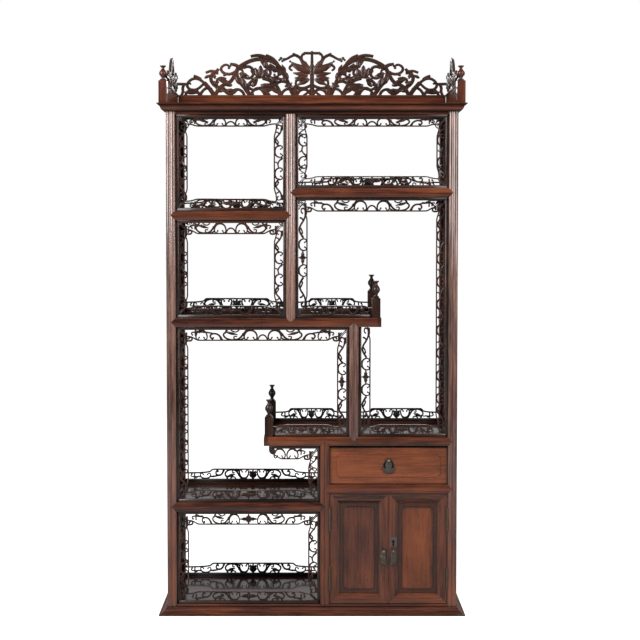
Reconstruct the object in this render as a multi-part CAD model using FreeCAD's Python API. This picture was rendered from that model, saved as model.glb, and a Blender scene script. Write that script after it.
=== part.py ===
"""A tall display cabinet of east asian kind, with stepped open shelves, pierced fret boards,
a drawer, a two-door cupboard and a pierced crest.

Frame: X runs to the viewer's right, the front faces -Y, Z is up.
The origin is the middle of the footprint, on the floor. All sizes are millimetres.
"""

import FreeCAD
import Part
import math
import os

Vec = FreeCAD.Vector
os.makedirs("parts", exist_ok=True)

# Overall sizes
body_width = 944.0
body_depth = 320.0
mould_overhang = 25.5

# Heights of the plinth, the cornice and the rails
plinth_height = 22.0
cornice_height = 25.5
thin_rail = 8.0
rail_height = 30.0

# Clear heights of the bays, from the floor up
lower_left_bay = 305.0
left_bay = 573.0
second_left_bay = 317.0
upper_left_bay = 311.0
cupboard_bay = 364.0
drawer_bay = 126.0
upper_right_bay = 238.0

# Places of the inner posts and the free ends of the two stepped shelves
upper_divider_x = -69.0
middle_divider_x = 136.0
lower_divider_x = 42.0
right_step_x = 225.0
left_step_x = -157.0

# Sections of the frame
post_width = 30.0
post_depth = 30.0
reed_height = 3.5
reed_margin = 1.0
groove_rise = 0.9
back_post = 26.0
rail_depth = 22.0
back_rail_depth = 20.0
plinth_member = 75.0
cornice_member = 62.0
plinth_lip = 4.0
plinth_shoulder = 5.0
cornice_lip = 3.0
cornice_lip_inset = 9.5

# Shelf panels
panel_thickness = 10.0
panel_recess = 5.0
tongue = 6.0
board_thickness = 8.0

# Fret boards
fret_thickness = 8.0
fret_setback = 10.0
strip_width = 10.0
back_strip_width = 18.0
fret_end_width = 25.0
fret_mid_width = 32.0
hanging_mid_width = 38.0
fret_border = 4.0
fret_strand = 8.0
fret_ramp = 12.0
front_fret_pitch = 76.0
side_fret_pitch = 200.0
back_fret_pitch = 130.0
bracket_size = 34.0

# Corner posts with turned finials, on the top and on the stepped shelves
finial_post_width = 27.0
finial_post_height = 73.0
finial_post_inset = 3.0
finial_height = 47.0
step_post_height = 65.0
step_finial_height = 55.0
back_step_rise = 10.0
finial_radius = 13.0
finial_facets = 10
top_gallery_inset = 6.0

# Crest
crest_thickness = 12.0
crest_rail = 65.0
crest_height = 219.0
side_crest_height = 174.0
crest_back_inset = 4.0

# Drawer
front_gap = 1.5
slide_gap = 0.3
drawer_top_gap = 6.0
face_setback = 7.0
drawer_front_thickness = 18.0
drawer_wall = 10.0
drawer_bottom = 6.0
drawer_rear_gap = 10.0
drawer_side_drop = 14.0
field_height = 2.0
field_inset = 22.0
field_notch = 7.0
runner_width = 20.0
guide_height = 10.0

# Doors
door_gap = 1.0
meeting_clearance = 0.4
door_thickness = 20.0
stile_width = 31.0
stile_bevel = 9.0
bevel_depth = 7.0
door_panel_thickness = 5.0
door_panel_depth = 9.0
door_field_inset = 13.0

# Hinges
hinge_length = 75.0
hinge_from_edge = 46.0
leaf_thickness = 1.2
leaf_width = 18.0
leaf_gap = 0.3
knuckle_radius = 3.5
knuckle_facets = 8
pin_radius = 1.5
pin_facets = 8
pin_clearance = 0.05
knuckle_gap = 0.2
axis_forward = 3.0

# Drop handles
handle_length = 50.0
handle_width = 19.0
pull_length = 56.0
pull_width = 42.0
drop_thickness = 4.0
eye_radius = 3.5
eye_facets = 8
ear_width = 2.0
ear_gap = 0.3
handle_rise = 178.0
pull_rise = 80.0

# Lock
lock_height = 44.0
lock_width = 18.0
lock_depth = 9.0
bolt_height = 14.0
bolt_depth = 4.0
bolt_length = 16.0
bolt_throw = 7.0
bolt_gap = 0.3
keyhole_radius = 4.0
keyhole_slot = 13.0
keyhole_slot_width = 4.4
lock_rise = 200.0

overrun = 3.0

# Planes and levels worked out from the sizes above
half_width = body_width / 2
depth_total = body_depth + mould_overhang
front_y = -depth_total / 2 + mould_overhang
back_y = depth_total / 2
core_y = front_y + reed_height
rail_back_y = core_y + rail_depth
fret_y = front_y + fret_setback
inner_left = -half_width + post_width
inner_right = half_width - post_width
back_left = -half_width + back_post
back_right = half_width - back_post
half_post = post_width / 2
half_back = back_post / 2
left_corner_x = -half_width + half_post
right_corner_x = half_width - half_post

floor_z = plinth_height + thin_rail
shelf_e_z = floor_z + lower_left_bay
shelf_c_z = shelf_e_z + rail_height + left_bay
shelf_a_z = shelf_c_z + rail_height + second_left_bay
top_z = shelf_a_z + rail_height + upper_left_bay
rail_g_z = floor_z + cupboard_bay
shelf_d_z = rail_g_z + rail_height + drawer_bay
shelf_b_z = top_z - upper_right_bay - rail_height
frame_top = top_z + thin_rail
handle_z = floor_z + handle_rise
lock_z = floor_z + lock_rise
pull_z = rail_g_z + rail_height + pull_rise
cornice_top = frame_top + cornice_height
top_groove_z = frame_top + (cornice_height - panel_thickness) / 2


def box(x0, x1, y0, y1, z0, z1):
    """A box between two opposite corners."""
    return Part.makeBox(x1 - x0, y1 - y0, z1 - z0, Vec(x0, y0, z0))


def polygon(points):
    """A closed wire through points."""
    return Part.makePolygon([*points, points[0]])


def prism(points, along):
    """A solid swept from a flat polygon."""
    return Part.Face(polygon(points)).extrude(along)


def xz_prism(points, y0, y1):
    """A prism whose outline is drawn in the front view."""
    return prism([Vec(x, y0, z) for x, z in points], Vec(0, y1 - y0, 0))


def xy_prism(points, z0, z1):
    """A prism whose outline is drawn in plan."""
    return prism([Vec(x, y, z0) for x, y in points], Vec(0, 0, z1 - z0))


def facet_turns(count):
    """The angles of the corners of a round piece that is drawn with flat facets."""
    return [2 * math.pi * (i + 0.5) / count for i in range(count)]


def facet_ring(radius, count):
    """The corners of a round section drawn with flat facets, about its own middle."""
    return [(radius * math.cos(a), radius * math.sin(a)) for a in facet_turns(count)]


def save(name, solids):
    """Writes one named piece, or one group of like pieces, as its own file."""
    shape = solids[0] if len(solids) == 1 else Part.makeCompound(solids)
    shape.exportStep(os.path.join("parts", name + ".step"))


# Posts and rails of the front frame

def reeded_post(x, z0, z1, point_down=False, point_up=False):
    """A front post with two reeds. A pointed end runs over the face of the rail it meets."""
    left, right = x - half_post, x + half_post
    low = z0 - half_post if point_down else z0
    high = z1 + half_post if point_up else z1
    marks = [Vec(left + reed_margin, core_y, low), Vec(x, core_y - groove_rise, low),
             Vec(right - reed_margin, core_y, low)]
    edges = []
    for start, end in zip(marks, marks[1:]):
        crown = Vec((start.x + end.x) / 2, front_y, low)
        edges.append(Part.Arc(start, crown, end).toShape())
    edges.append(Part.makeLine(marks[-1], marks[0]))
    reeds = Part.Face(Part.Wire(edges)).extrude(Vec(0, 0, high - low))
    if point_down or point_up:
        outline = [(left, z0), (x, low), (right, z0)] if point_down else [(left, z0), (right, z0)]
        outline += [(right, z1), (x, high), (left, z1)] if point_up else [(right, z1), (left, z1)]
        reeds = reeds.common(xz_prism(outline, front_y - overrun, core_y + overrun))
    core = box(left, right, core_y, front_y + post_depth, z0, z1)
    return core.fuse(reeds).removeSplitter()


def crowned_rail(x0, x1, z0, point_left=True, point_right=True):
    """A front rail with a crowned face, whose pointed ends run over the posts."""
    z1 = z0 + rail_height
    middle = (z0 + z1) / 2
    left = x0 - half_post if point_left else x0
    right = x1 + half_post if point_right else x1
    face = Part.Arc(Vec(left, core_y, z0), Vec(left, front_y, middle), Vec(left, core_y, z1))
    chord = Part.makeLine(Vec(left, core_y, z1), Vec(left, core_y, z0))
    crown = Part.Face(Part.Wire([face.toShape(), chord])).extrude(Vec(right - left, 0, 0))
    outline = [(x0, z0), (x1, z0)]
    outline += [(right, middle)] if point_right else []
    outline += [(x1, z1), (x0, z1)]
    outline += [(left, middle)] if point_left else []
    crown = crown.common(xz_prism(outline, front_y - overrun, core_y + overrun))
    core = box(x0, x1, core_y, rail_back_y, z0, z1)
    return core.fuse(crown).removeSplitter()


def side_notch(face_x, z0, towards):
    """What a rail's pointed end takes out of the face of a post."""
    middle = z0 + rail_height / 2
    tip = face_x + towards * half_post
    points = [(face_x, z0), (face_x, z0 + rail_height), (tip, middle)]
    return xz_prism(points, front_y - overrun, core_y)


def end_notch(x, face_z, towards):
    """What a post's pointed end takes out of the face of a rail."""
    points = [(x - half_post, face_z), (x + half_post, face_z), (x, face_z + towards * half_post)]
    return xz_prism(points, front_y - overrun, core_y)


def cut_all(solid, tools):
    """A solid with each of the tools taken out of it."""
    for tool in tools:
        solid = solid.cut(tool)
    return solid


# Hinge places, which the posts and the doors share

door_left = lower_divider_x + half_post + front_gap
door_right = inner_right - front_gap
door_middle = (door_left + door_right) / 2
door_low = floor_z + front_gap
door_high = rail_g_z - front_gap
face_y = front_y + face_setback
door_back_y = face_y + door_thickness
axis_y = face_y - axis_forward
left_axis_x = door_left - front_gap / 2
right_axis_x = door_right + front_gap / 2
hinge_lows = [door_low + hinge_from_edge, door_high - hinge_from_edge - hinge_length]
knuckle_room = knuckle_radius + leaf_gap


def hinge_pocket(axis_x, side, z0):
    """Room for a barrel and one leaf, let into a post (side -1 or +1 from the axis) or a door."""
    edge = axis_x + side * front_gap / 2
    z1 = z0 + hinge_length
    far = axis_x + side * knuckle_room
    barrel = box(min(edge, far), max(edge, far), axis_y - 2 * knuckle_radius,
                 axis_y + knuckle_room, z0 - leaf_gap, z1 + leaf_gap)
    leaf_far = axis_x + side * (leaf_gap / 2 + leaf_thickness)
    leaf = box(min(edge, leaf_far), max(edge, leaf_far), axis_y,
               axis_y + leaf_width, z0, z1)
    return barrel.fuse(leaf)


def build_posts():
    """The four corner posts and three pairs of inner posts."""
    left = cut_all(reeded_post(-half_width + half_post, plinth_height, frame_top),
                   [side_notch(inner_left, z, -1) for z in (shelf_e_z, shelf_c_z, shelf_a_z)])
    right = cut_all(reeded_post(half_width - half_post, plinth_height, frame_top),
                    [side_notch(inner_right, z, 1) for z in (rail_g_z, shelf_d_z, shelf_b_z)]
                    + [hinge_pocket(right_axis_x, 1, z) for z in hinge_lows])
    save("front_left_post", [left])
    save("front_right_post", [right])
    save("back_corner_posts", [
        box(x0, x1, back_y - back_post, back_y, plinth_height, frame_top)
        for x0, x1 in ((-half_width, back_left), (back_right, half_width))])

    upper = reeded_post(upper_divider_x, shelf_c_z + rail_height, top_z, point_down=True)
    upper = cut_all(upper, [side_notch(upper_divider_x - half_post, shelf_a_z, 1),
                            side_notch(upper_divider_x + half_post, shelf_b_z, -1)])
    middle = reeded_post(middle_divider_x, shelf_d_z + rail_height, shelf_c_z,
                         point_down=True, point_up=True)
    lower = reeded_post(lower_divider_x, floor_z, shelf_d_z, point_up=True)
    lower = cut_all(lower, [side_notch(lower_divider_x - half_post, shelf_e_z, 1),
                            side_notch(lower_divider_x + half_post, rail_g_z, -1)]
                    + [hinge_pocket(left_axis_x, -1, z) for z in hinge_lows])

    def back_divider(x, z0, z1):
        return box(x - half_back, x + half_back, back_y - back_post, back_y, z0, z1)

    save("upper_divider_posts",
         [upper, back_divider(upper_divider_x, shelf_c_z + rail_height, top_groove_z)])
    save("middle_divider_posts",
         [middle, back_divider(middle_divider_x, shelf_d_z + rail_height, shelf_c_z)])
    save("lower_divider_posts", [lower, back_divider(lower_divider_x, floor_z, shelf_d_z)])


# Plinth, cornice and the thin frames beside them

def mitred_surround(profile, member, z0, z1):
    """Front, left and right members mitred at the front corners, and a plain back member."""
    outer = half_width + mould_overhang
    front = -depth_total / 2
    low, high = z0 - overrun, z1 + overrun
    front_plan = [(-outer, front), (outer, front), (outer - member, front + member),
                  (-outer + member, front + member)]
    pieces = []
    run = profile(lambda inset, z: Vec(-outer, front + inset, z)).extrude(Vec(2 * outer, 0, 0))
    pieces.append(run.common(xy_prism(front_plan, low, high)))
    for side in (-1, 1):
        plan = [(side * outer, front), (side * (outer - member), front + member),
                (side * (outer - member), back_y), (side * outer, back_y)]
        run = profile(lambda inset, z: Vec(side * (outer - inset), front, z))
        run = run.extrude(Vec(0, depth_total, 0))
        pieces.append(run.common(xy_prism(plan, low, high)))
    return pieces


def plinth_profile(place):
    """The plinth's section: a small square edge below a hollow that rises to the posts."""
    shoulder = mould_overhang - plinth_shoulder
    rise = plinth_height - 2 * plinth_lip
    a, b = place(0, plinth_lip), place(shoulder, plinth_lip + rise)
    sag = rise / 6
    bend = place(shoulder / 2 + sag / 2, plinth_lip + rise / 2 - sag)
    edges = [Part.makeLine(place(0, 0), a), Part.Arc(a, bend, b).toShape()]
    corners = [b, place(shoulder, plinth_height), place(plinth_member, plinth_height),
               place(plinth_member, 0), place(0, 0)]
    edges += [Part.makeLine(p, q) for p, q in zip(corners, corners[1:])]
    return Part.Face(Part.Wire(edges))


def cornice_profile(place):
    """The cornice's section: a sharp lip above a quarter round that runs in to the posts."""
    lip_low = cornice_top - 2 * cornice_lip
    start = place(cornice_lip_inset, lip_low)
    end = place(mould_overhang - plinth_shoulder / 2, frame_top)
    width = mould_overhang - plinth_shoulder / 2 - cornice_lip_inset
    drop = lip_low - frame_top
    quarter = math.sqrt(0.5)
    bulge = place(cornice_lip_inset + width * (1 - quarter), lip_low - drop * quarter)
    groove_high = top_groove_z + panel_thickness
    corners = [end, place(cornice_member, frame_top), place(cornice_member, top_groove_z),
               place(cornice_member - tongue, top_groove_z),
               place(cornice_member - tongue, groove_high),
               place(cornice_member, groove_high), place(cornice_member, cornice_top),
               place(0, cornice_top), place(0, cornice_top - cornice_lip), start]
    edges = [Part.makeLine(p, q) for p, q in zip(corners, corners[1:])]
    edges.append(Part.Arc(start, bulge, end).toShape())
    return Part.Face(Part.Wire(edges))


def build_plinth_and_cornice():
    """Both moulded surrounds, with the thin frames that close the front between the posts."""
    outer = half_width + mould_overhang
    plinth = mitred_surround(plinth_profile, plinth_member, 0, plinth_height)
    plinth.append(box(-outer + plinth_member, outer - plinth_member,
                      back_y - plinth_member, back_y, 0, plinth_height))
    save("plinth_mouldings", plinth)

    cornice = mitred_surround(cornice_profile, cornice_member, frame_top, cornice_top)
    back = box(-outer + cornice_member, outer - cornice_member, back_y - cornice_member, back_y,
               top_groove_z, cornice_top)
    board = box(-outer + cornice_member - tongue, outer - cornice_member + tongue,
                -depth_total / 2 + cornice_member - tongue, back_y - cornice_member + tongue,
                top_groove_z, top_groove_z + panel_thickness)
    cornice.append(back.cut(board))
    save("cornice_mouldings", cornice)
    save("top_board", [board])

    side_front, side_back = front_y + post_depth, back_y - back_post

    def thin_frame(z0, z1):
        """The front rail and the two side rails."""
        return [box(inner_left, inner_right, core_y, rail_back_y, z0, z1),
                box(-half_width, -half_width + rail_depth, side_front, side_back, z0, z1),
                box(half_width - rail_depth, half_width, side_front, side_back, z0, z1)]

    save("top_frame", thin_frame(top_z, frame_top))
    back = box(back_left, back_right, back_y - back_rail_depth, back_y, plinth_height, floor_z)
    save("bottom_frame", [*thin_frame(plinth_height, floor_z), back])
    board = box(-half_width + rail_depth, half_width - rail_depth, rail_back_y,
                back_y - back_rail_depth, plinth_height, floor_z)
    save("bottom_board", [round_posts(board, (left_corner_x, right_corner_x, lower_divider_x),
                                      floor_z - thin_rail, floor_z)])


# Shelves: a frame of four rails round a panel held in grooves

def round_posts(board, places, z0, z1):
    """A board notched round the front and back posts that stand at the given places."""
    posts = [box(x - half_post, x + half_post, front_y, front_y + post_depth, z0, z1)
             for x in places]
    posts += [box(x - half_post, x + half_post, back_y - back_post, back_y, z0, z1)
              for x in places]
    return cut_all(board, posts)


def shelf(name, z0, front, back, left_rail, right_rail, places):
    """Saves a shelf's frame and panel. Each rail is a solid that the panel's edges are let into."""
    z_panel = z0 + rail_height - panel_recess - panel_thickness
    x0 = left_rail.BoundBox.XMax - tongue
    x1 = right_rail.BoundBox.XMin + tongue
    panel = box(x0, x1, rail_back_y - tongue, back_y - back_rail_depth + tongue,
                z_panel, z_panel + panel_thickness)
    rails = [rail.cut(panel) for rail in (front, back, left_rail, right_rail)]
    save(name + "_frame", rails)
    save(name + "_panel", [round_posts(panel, places, z0, z0 + rail_height)])


def back_rail(x0, x1, z0):
    """A plain rail between the back posts."""
    return box(x0, x1, back_y - back_rail_depth, back_y, z0, z0 + rail_height)


def cross_rail(x0, x1, z0, y0=front_y + post_depth, y1=back_y - back_post):
    """A rail from front to back."""
    return box(x0, x1, y0, y1, z0, z0 + rail_height)


def build_shelves():
    """Five framed shelves."""
    left_side = (-half_width, -half_width + rail_depth)
    right_side = (half_width - rail_depth, half_width)
    half_rail = rail_depth / 2

    shelf("shelf_upper_left", shelf_a_z,
          crowned_rail(inner_left, upper_divider_x - half_post, shelf_a_z),
          back_rail(back_left, upper_divider_x - half_back, shelf_a_z),
          cross_rail(*left_side, shelf_a_z),
          cross_rail(upper_divider_x - half_rail, upper_divider_x + half_rail, shelf_a_z),
          (left_corner_x, upper_divider_x))
    shelf("shelf_upper_right", shelf_b_z,
          crowned_rail(upper_divider_x + half_post, inner_right, shelf_b_z),
          back_rail(upper_divider_x + half_back, back_right, shelf_b_z),
          cross_rail(upper_divider_x - half_rail, upper_divider_x + half_rail, shelf_b_z),
          cross_rail(*right_side, shelf_b_z), (upper_divider_x, right_corner_x))

    front = crowned_rail(inner_left, right_step_x, shelf_c_z, point_right=False)
    front = cut_all(front, [end_notch(upper_divider_x, shelf_c_z + rail_height, -1),
                            end_notch(middle_divider_x, shelf_c_z, 1)])
    shelf("shelf_middle_left", shelf_c_z, front,
          back_rail(back_left, right_step_x, shelf_c_z),
          cross_rail(*left_side, shelf_c_z),
          cross_rail(right_step_x - rail_depth, right_step_x, shelf_c_z,
                     rail_back_y, back_y - back_rail_depth), (left_corner_x,))

    front = crowned_rail(left_step_x, inner_right, shelf_d_z, point_left=False)
    front = cut_all(front, [end_notch(middle_divider_x, shelf_d_z + rail_height, -1),
                            end_notch(lower_divider_x, shelf_d_z, 1)])
    shelf("shelf_middle_right", shelf_d_z, front,
          back_rail(left_step_x, back_right, shelf_d_z),
          cross_rail(left_step_x, left_step_x + rail_depth, shelf_d_z,
                     rail_back_y, back_y - back_rail_depth),
          cross_rail(*right_side, shelf_d_z), (right_corner_x,))

    inner_side = lower_divider_x - half_post
    shelf("shelf_lower_left", shelf_e_z,
          crowned_rail(inner_left, inner_side, shelf_e_z),
          back_rail(back_left, lower_divider_x - half_back, shelf_e_z),
          cross_rail(*left_side, shelf_e_z),
          cross_rail(inner_side, side_panel_x, shelf_e_z), (left_corner_x, lower_divider_x))


# Cupboard walls and the frame between the drawer and the doors

side_panel_x = lower_divider_x + half_back - 2 * front_gap - board_thickness
outer_panel_x = half_width - 2 * board_thickness
back_panel_y = back_y - back_post / 2
carcass_left = side_panel_x + board_thickness


def build_cupboard_walls():
    """Boards that close the cupboard at its sides and back."""
    y0, y1 = front_y + post_depth, back_y - back_post
    save("cupboard_boards", [
        box(side_panel_x, carcass_left, y0, y1, floor_z, shelf_d_z),
        box(outer_panel_x, outer_panel_x + board_thickness, y0, y1, floor_z, shelf_d_z),
        box(lower_divider_x + half_back, back_right, back_panel_y,
            back_panel_y + board_thickness, floor_z, shelf_d_z)])


def build_drawer_frame():
    """The rail under the drawer, its runners with their guides, and the dust board."""
    y0, y1 = rail_back_y, back_panel_y - back_rail_depth
    z1 = rail_g_z + rail_height
    runners = []
    for wall, side_x, way in ((carcass_left, door_left, 1), (outer_panel_x, door_right, -1)):
        guide = side_x - way * slide_gap
        inner = side_x + way * runner_width
        outline = [(wall, rail_g_z), (inner, rail_g_z), (inner, z1), (guide, z1),
                   (guide, z1 + guide_height), (wall, z1 + guide_height)]
        runners.append(xz_prism(outline, front_y + post_depth, y1))
    dust = box(door_left + runner_width - tongue, door_right - runner_width + tongue,
               rail_back_y - tongue, y1 + tongue,
               z1 - panel_recess - panel_thickness, z1 - panel_recess)
    front = crowned_rail(lower_divider_x + half_post, inner_right, rail_g_z)
    back = box(lower_divider_x + half_back, back_right, y1, back_panel_y, rail_g_z, z1)
    save("drawer_rail_frame", [piece.cut(dust) for piece in (front, back, *runners)])
    save("dust_board", [dust])


# Fret boards

def fret_outline(length, ends, windows, stepped, strip, mid_width):
    """Outer line and windows of one pierced board, drawn along (u) and across (v) its run.

    ends holds "mitre" or "square" for the start and the end. The board has a plain strip
    on its outer edge and a border on its inner edge, which steps out towards the middle
    where stepped. The vine between them is one strand that swings from edge to edge.
    """
    low = strip
    narrow = low + fret_end_width
    wide = low + mid_width if stepped else narrow
    cut = [narrow if end == "mitre" else 0 for end in ends]
    ramp_in = cut[0] + fret_ramp
    ramp_out = length - cut[1] - fret_ramp
    outer = [(0, 0), (length, 0), (length - cut[1], narrow)]
    if stepped:
        outer += [(ramp_out, narrow), (ramp_out - fret_ramp, wide),
                  (ramp_in + fret_ramp, wide), (ramp_in, narrow)]
    outer.append((cut[0], narrow))

    def rim(u):
        """Height of the windows' inner side where the board is u along."""
        share = min(max(min(u - ramp_in, ramp_out - u) / fret_ramp, 0), 1)
        return narrow + share * (wide - narrow) - fret_border

    # Where the board steps out far, a straight window would cut its border, so it turns there
    turns = [ramp_out, ramp_in] if wide - narrow > 2 * fret_border else []

    # A window is wide at the strip and pointed at the border, and the next the other way round
    inset = [(low + fret_strand, narrow - fret_border + fret_strand) if end == "mitre"
             else (fret_strand, fret_strand) for end in ends]
    first, last = sum(inset[0]) / 2, length - sum(inset[1]) / 2
    pitch = (last - first) / windows
    reach = pitch / 2 - fret_strand
    holes = []
    for i in range(windows):
        left, right = first + i * pitch, first + (i + 1) * pitch
        sides = [(left - reach, right + reach), ((left + right) / 2,) * 2]
        if i % 2:
            sides.reverse()
        (low_left, low_right), (high_left, high_right) = sides
        if i == 0:
            low_left, high_left = inset[0]
        if i == windows - 1:
            low_right, high_right = (length - side for side in inset[1])
        rims = [high_right, *(u for u in turns if high_left < u < high_right), high_left]
        line = [(low_left, low), (low_right, low), *((u, rim(u)) for u in rims)]
        holes.append([point for k, point in enumerate(line) if point != line[k - 1]])
    return outer, holes


def fret_board(start, end, inward, out, thickness_from, pitch, ends=("mitre", "mitre"),
               stepped=True, strip=strip_width, mid_width=fret_mid_width):
    """One pierced board between two points of an opening's edge.

    inward points into the opening and out is the way its thickness runs.
    """
    run = end.sub(start)
    length = run.Length
    along = Vec(run).normalize()
    count = max(int(round((length - 2 * strip_width) / pitch)), 1)
    count += 1 - count % 2
    outer, holes = fret_outline(length, ends, count, stepped, strip, mid_width)

    def wire(points):
        return polygon([start + along * u + inward * v + out * thickness_from
                        for u, v in points])

    face = Part.makeFace([wire(outer), *[wire(hole) for hole in holes]],
                         "Part::FaceMakerBullseye")
    return face.extrude(out * fret_thickness)


front_normal = Vec(0, 1, 0)
up, down = Vec(0, 0, 1), Vec(0, 0, -1)
to_right, to_left = Vec(1, 0, 0), Vec(-1, 0, 0)


def front_fret(x0, z0, x1, z1, inward, ends=("mitre", "mitre"), mid_width=fret_mid_width):
    """A pierced board in the front, from one corner to the next."""
    return fret_board(Vec(x0, 0, z0), Vec(x1, 0, z1), inward, front_normal, fret_y,
                      front_fret_pitch, ends, mid_width=mid_width)


def hanging_fret(x0, x1, z, ends=("mitre", "mitre")):
    """The deeper board under a shelf, from its right end to its left."""
    return front_fret(x0, z, x1, z, down, ends, hanging_mid_width)


def framed_bay(x0, x1, z0, z1, hanging):
    """The four mitred boards of a plain bay."""
    return [front_fret(x0, z0, x1, z0, up), front_fret(x1, z0, x1, z1, to_left),
            hanging, front_fret(x0, z1, x0, z0, to_right)]


right_post_x = right_step_x - finial_post_inset - finial_post_width
left_post_x = left_step_x + finial_post_inset + finial_post_width
step_y0 = front_y + finial_post_inset
step_y1 = back_y - finial_post_inset - finial_post_width


def end_gallery(x, z):
    """The low pierced board at the free end of a stepped shelf, between its two corner posts."""
    y0 = step_y0 + finial_post_width
    return fret_board(Vec(x, y0, z), Vec(x, step_y1, z), up, to_right, -fret_thickness / 2,
                      side_fret_pitch, ("square", "square"), False)


def build_front_frets():
    """The pierced boards of the six open bays."""
    under_c, on_c = shelf_c_z, shelf_c_z + rail_height
    under_d, on_d = shelf_d_z, shelf_d_z + rail_height
    on_e = shelf_e_z + rail_height
    upper_l, upper_r = upper_divider_x - half_post, upper_divider_x + half_post
    middle_l, middle_r = middle_divider_x - half_post, middle_divider_x + half_post
    lower_l = lower_divider_x - half_post
    gallery_end = finial_post_width / 2

    save("fret_upper_left_bay",
         framed_bay(inner_left, upper_l, shelf_a_z + rail_height, top_z,
                    front_fret(upper_l, top_z, inner_left, top_z, down)))
    save("fret_upper_right_bay",
         framed_bay(upper_r, inner_right, shelf_b_z + rail_height, top_z,
                    front_fret(inner_right, top_z, upper_r, top_z, down)))
    save("fret_second_left_bay",
         framed_bay(inner_left, upper_l, on_c, shelf_a_z,
                    hanging_fret(upper_l, inner_left, shelf_a_z)))
    save("fret_lower_left_bay",
         framed_bay(inner_left, lower_l, floor_z, shelf_e_z,
                    hanging_fret(lower_l, inner_left, shelf_e_z)))
    save("fret_right_bay", [
        hanging_fret(inner_right, upper_r, shelf_b_z),
        front_fret(upper_r, shelf_b_z, upper_r, on_c, to_right),
        front_fret(upper_r, on_c, right_post_x, on_c, up, ("mitre", "square")),
        front_fret(middle_r, under_c, middle_r, on_d, to_right, ("square", "mitre")),
        front_fret(middle_r, on_d, inner_right, on_d, up),
        front_fret(inner_right, on_d, inner_right, shelf_b_z, to_left),
        end_gallery(right_post_x + gallery_end, on_c)])
    save("fret_left_bay", [
        hanging_fret(middle_l, inner_left, under_c),
        front_fret(inner_left, under_c, inner_left, on_e, to_right),
        front_fret(inner_left, on_e, lower_l, on_e, up),
        front_fret(lower_l, on_e, lower_l, under_d, to_left),
        hanging_fret(lower_l, left_post_x - finial_post_width / 2, under_d,
                     ("mitre", "square")),
        front_fret(left_post_x, on_d, middle_l, on_d, up, ("square", "mitre")),
        front_fret(middle_l, on_d, middle_l, under_c, to_left),
        end_gallery(left_post_x - gallery_end, on_d)])


def side_bay(x, z0, z1):
    """The four mitred boards of one side opening."""
    y0, y1 = front_y + post_depth, back_y - back_post
    toward_back, toward_front = Vec(0, 1, 0), Vec(0, -1, 0)

    def board(ya, za, yb, zb, inward):
        return fret_board(Vec(x, ya, za), Vec(x, yb, zb), inward, to_right,
                          -fret_thickness / 2, side_fret_pitch, stepped=False)

    return [board(y0, z0, y1, z0, up), board(y1, z0, y1, z1, toward_front),
            board(y1, z1, y0, z1, down), board(y0, z1, y0, z0, toward_back)]


def build_side_frets():
    """The pierced boards of the open sides."""
    x = half_width - rail_depth / 2
    left = []
    for z0, z1 in ((floor_z, shelf_e_z), (shelf_e_z + rail_height, shelf_c_z),
                   (shelf_c_z + rail_height, shelf_a_z), (shelf_a_z + rail_height, top_z)):
        left += side_bay(-x, z0, z1)
    right = side_bay(x, shelf_d_z + rail_height, shelf_b_z)
    right += side_bay(x, shelf_b_z + rail_height, top_z)
    save("left_side_frets", left)
    save("right_side_frets", right)


def build_back_galleries():
    """Low galleries on the back rails, and small brackets in the upper corners."""
    y = back_y - back_post / 2 - fret_thickness / 2
    upper_l, upper_r = upper_divider_x - half_back, upper_divider_x + half_back
    middle_l, middle_r = middle_divider_x - half_back, middle_divider_x + half_back
    lower_l = lower_divider_x - half_back
    on_a, on_b = shelf_a_z + rail_height, shelf_b_z + rail_height
    on_c, on_d, on_e = (z + rail_height for z in (shelf_c_z, shelf_d_z, shelf_e_z))
    square = ("square", "square")
    boards = [fret_board(Vec(x0, 0, z), Vec(x1, 0, z), up, front_normal, y, back_fret_pitch,
                         square, strip=back_strip_width)
              for x0, x1, z in (
                  (back_left, upper_l, on_a), (upper_r, back_right, on_b),
                  (back_left, upper_l, on_c), (upper_r, right_post_x, on_c),
                  (middle_r, back_right, on_d), (left_post_x, middle_l, on_d),
                  (back_left, lower_l, on_e), (back_left, lower_l, floor_z))]
    save("back_galleries", boards)

    size, arm = bracket_size, bracket_size / 3
    brackets = []
    for x0, x1, z in ((back_left, upper_l, top_groove_z), (upper_r, back_right, top_groove_z),
                      (back_left, upper_l, shelf_a_z), (upper_r, back_right, shelf_b_z),
                      (back_left, middle_l, shelf_c_z), (back_left, lower_l, shelf_e_z)):
        for x, way in ((x0, 1), (x1, -1)):
            outline = [(x + way * size, z), (x + way * size, z - arm),
                       (x + way * arm, z - size), (x, z - size)]
            if z == top_groove_z and x in (back_left, back_right):
                # notched below the cornice's side member
                inner = -way * (half_width + mould_overhang - cornice_member)
                outline += [(x, frame_top), (inner, frame_top), (inner, z)]
            else:
                outline.append((x, z))
            brackets.append(xz_prism(outline, y, y + fret_thickness))
    save("back_corner_brackets", brackets)


# Corner posts with turned finials

finial_shares = [(0.72, 0.0), (0.50, 0.12), (1.0, 0.45), (0.40, 0.80), (0.72, 1.0)]


def finial_post(x0, y0, z0, post_height, turned_height):
    """A square post with a bulb and a flared top, cut from one piece in flat facets."""
    w = finial_post_width
    base = z0 + post_height
    body = box(x0, x0 + w, y0, y0 + w, z0, base)
    cx, cy = x0 + w / 2, y0 + w / 2
    rings = []
    for radius_share, height_share in finial_shares:
        radius = radius_share * finial_radius
        rings.append([Vec(cx + u, cy + v, base + height_share * turned_height)
                      for u, v in facet_ring(radius, finial_facets)])
    faces = [Part.Face(polygon(rings[0])), Part.Face(polygon(rings[-1]))]
    for lower, higher in zip(rings, rings[1:]):
        for i in range(finial_facets):
            faces.append(Part.Face(polygon([lower[i - 1], lower[i], higher[i], higher[i - 1]])))
    spindle = Part.makeSolid(Part.makeShell(faces))
    return body.fuse(spindle)


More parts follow.
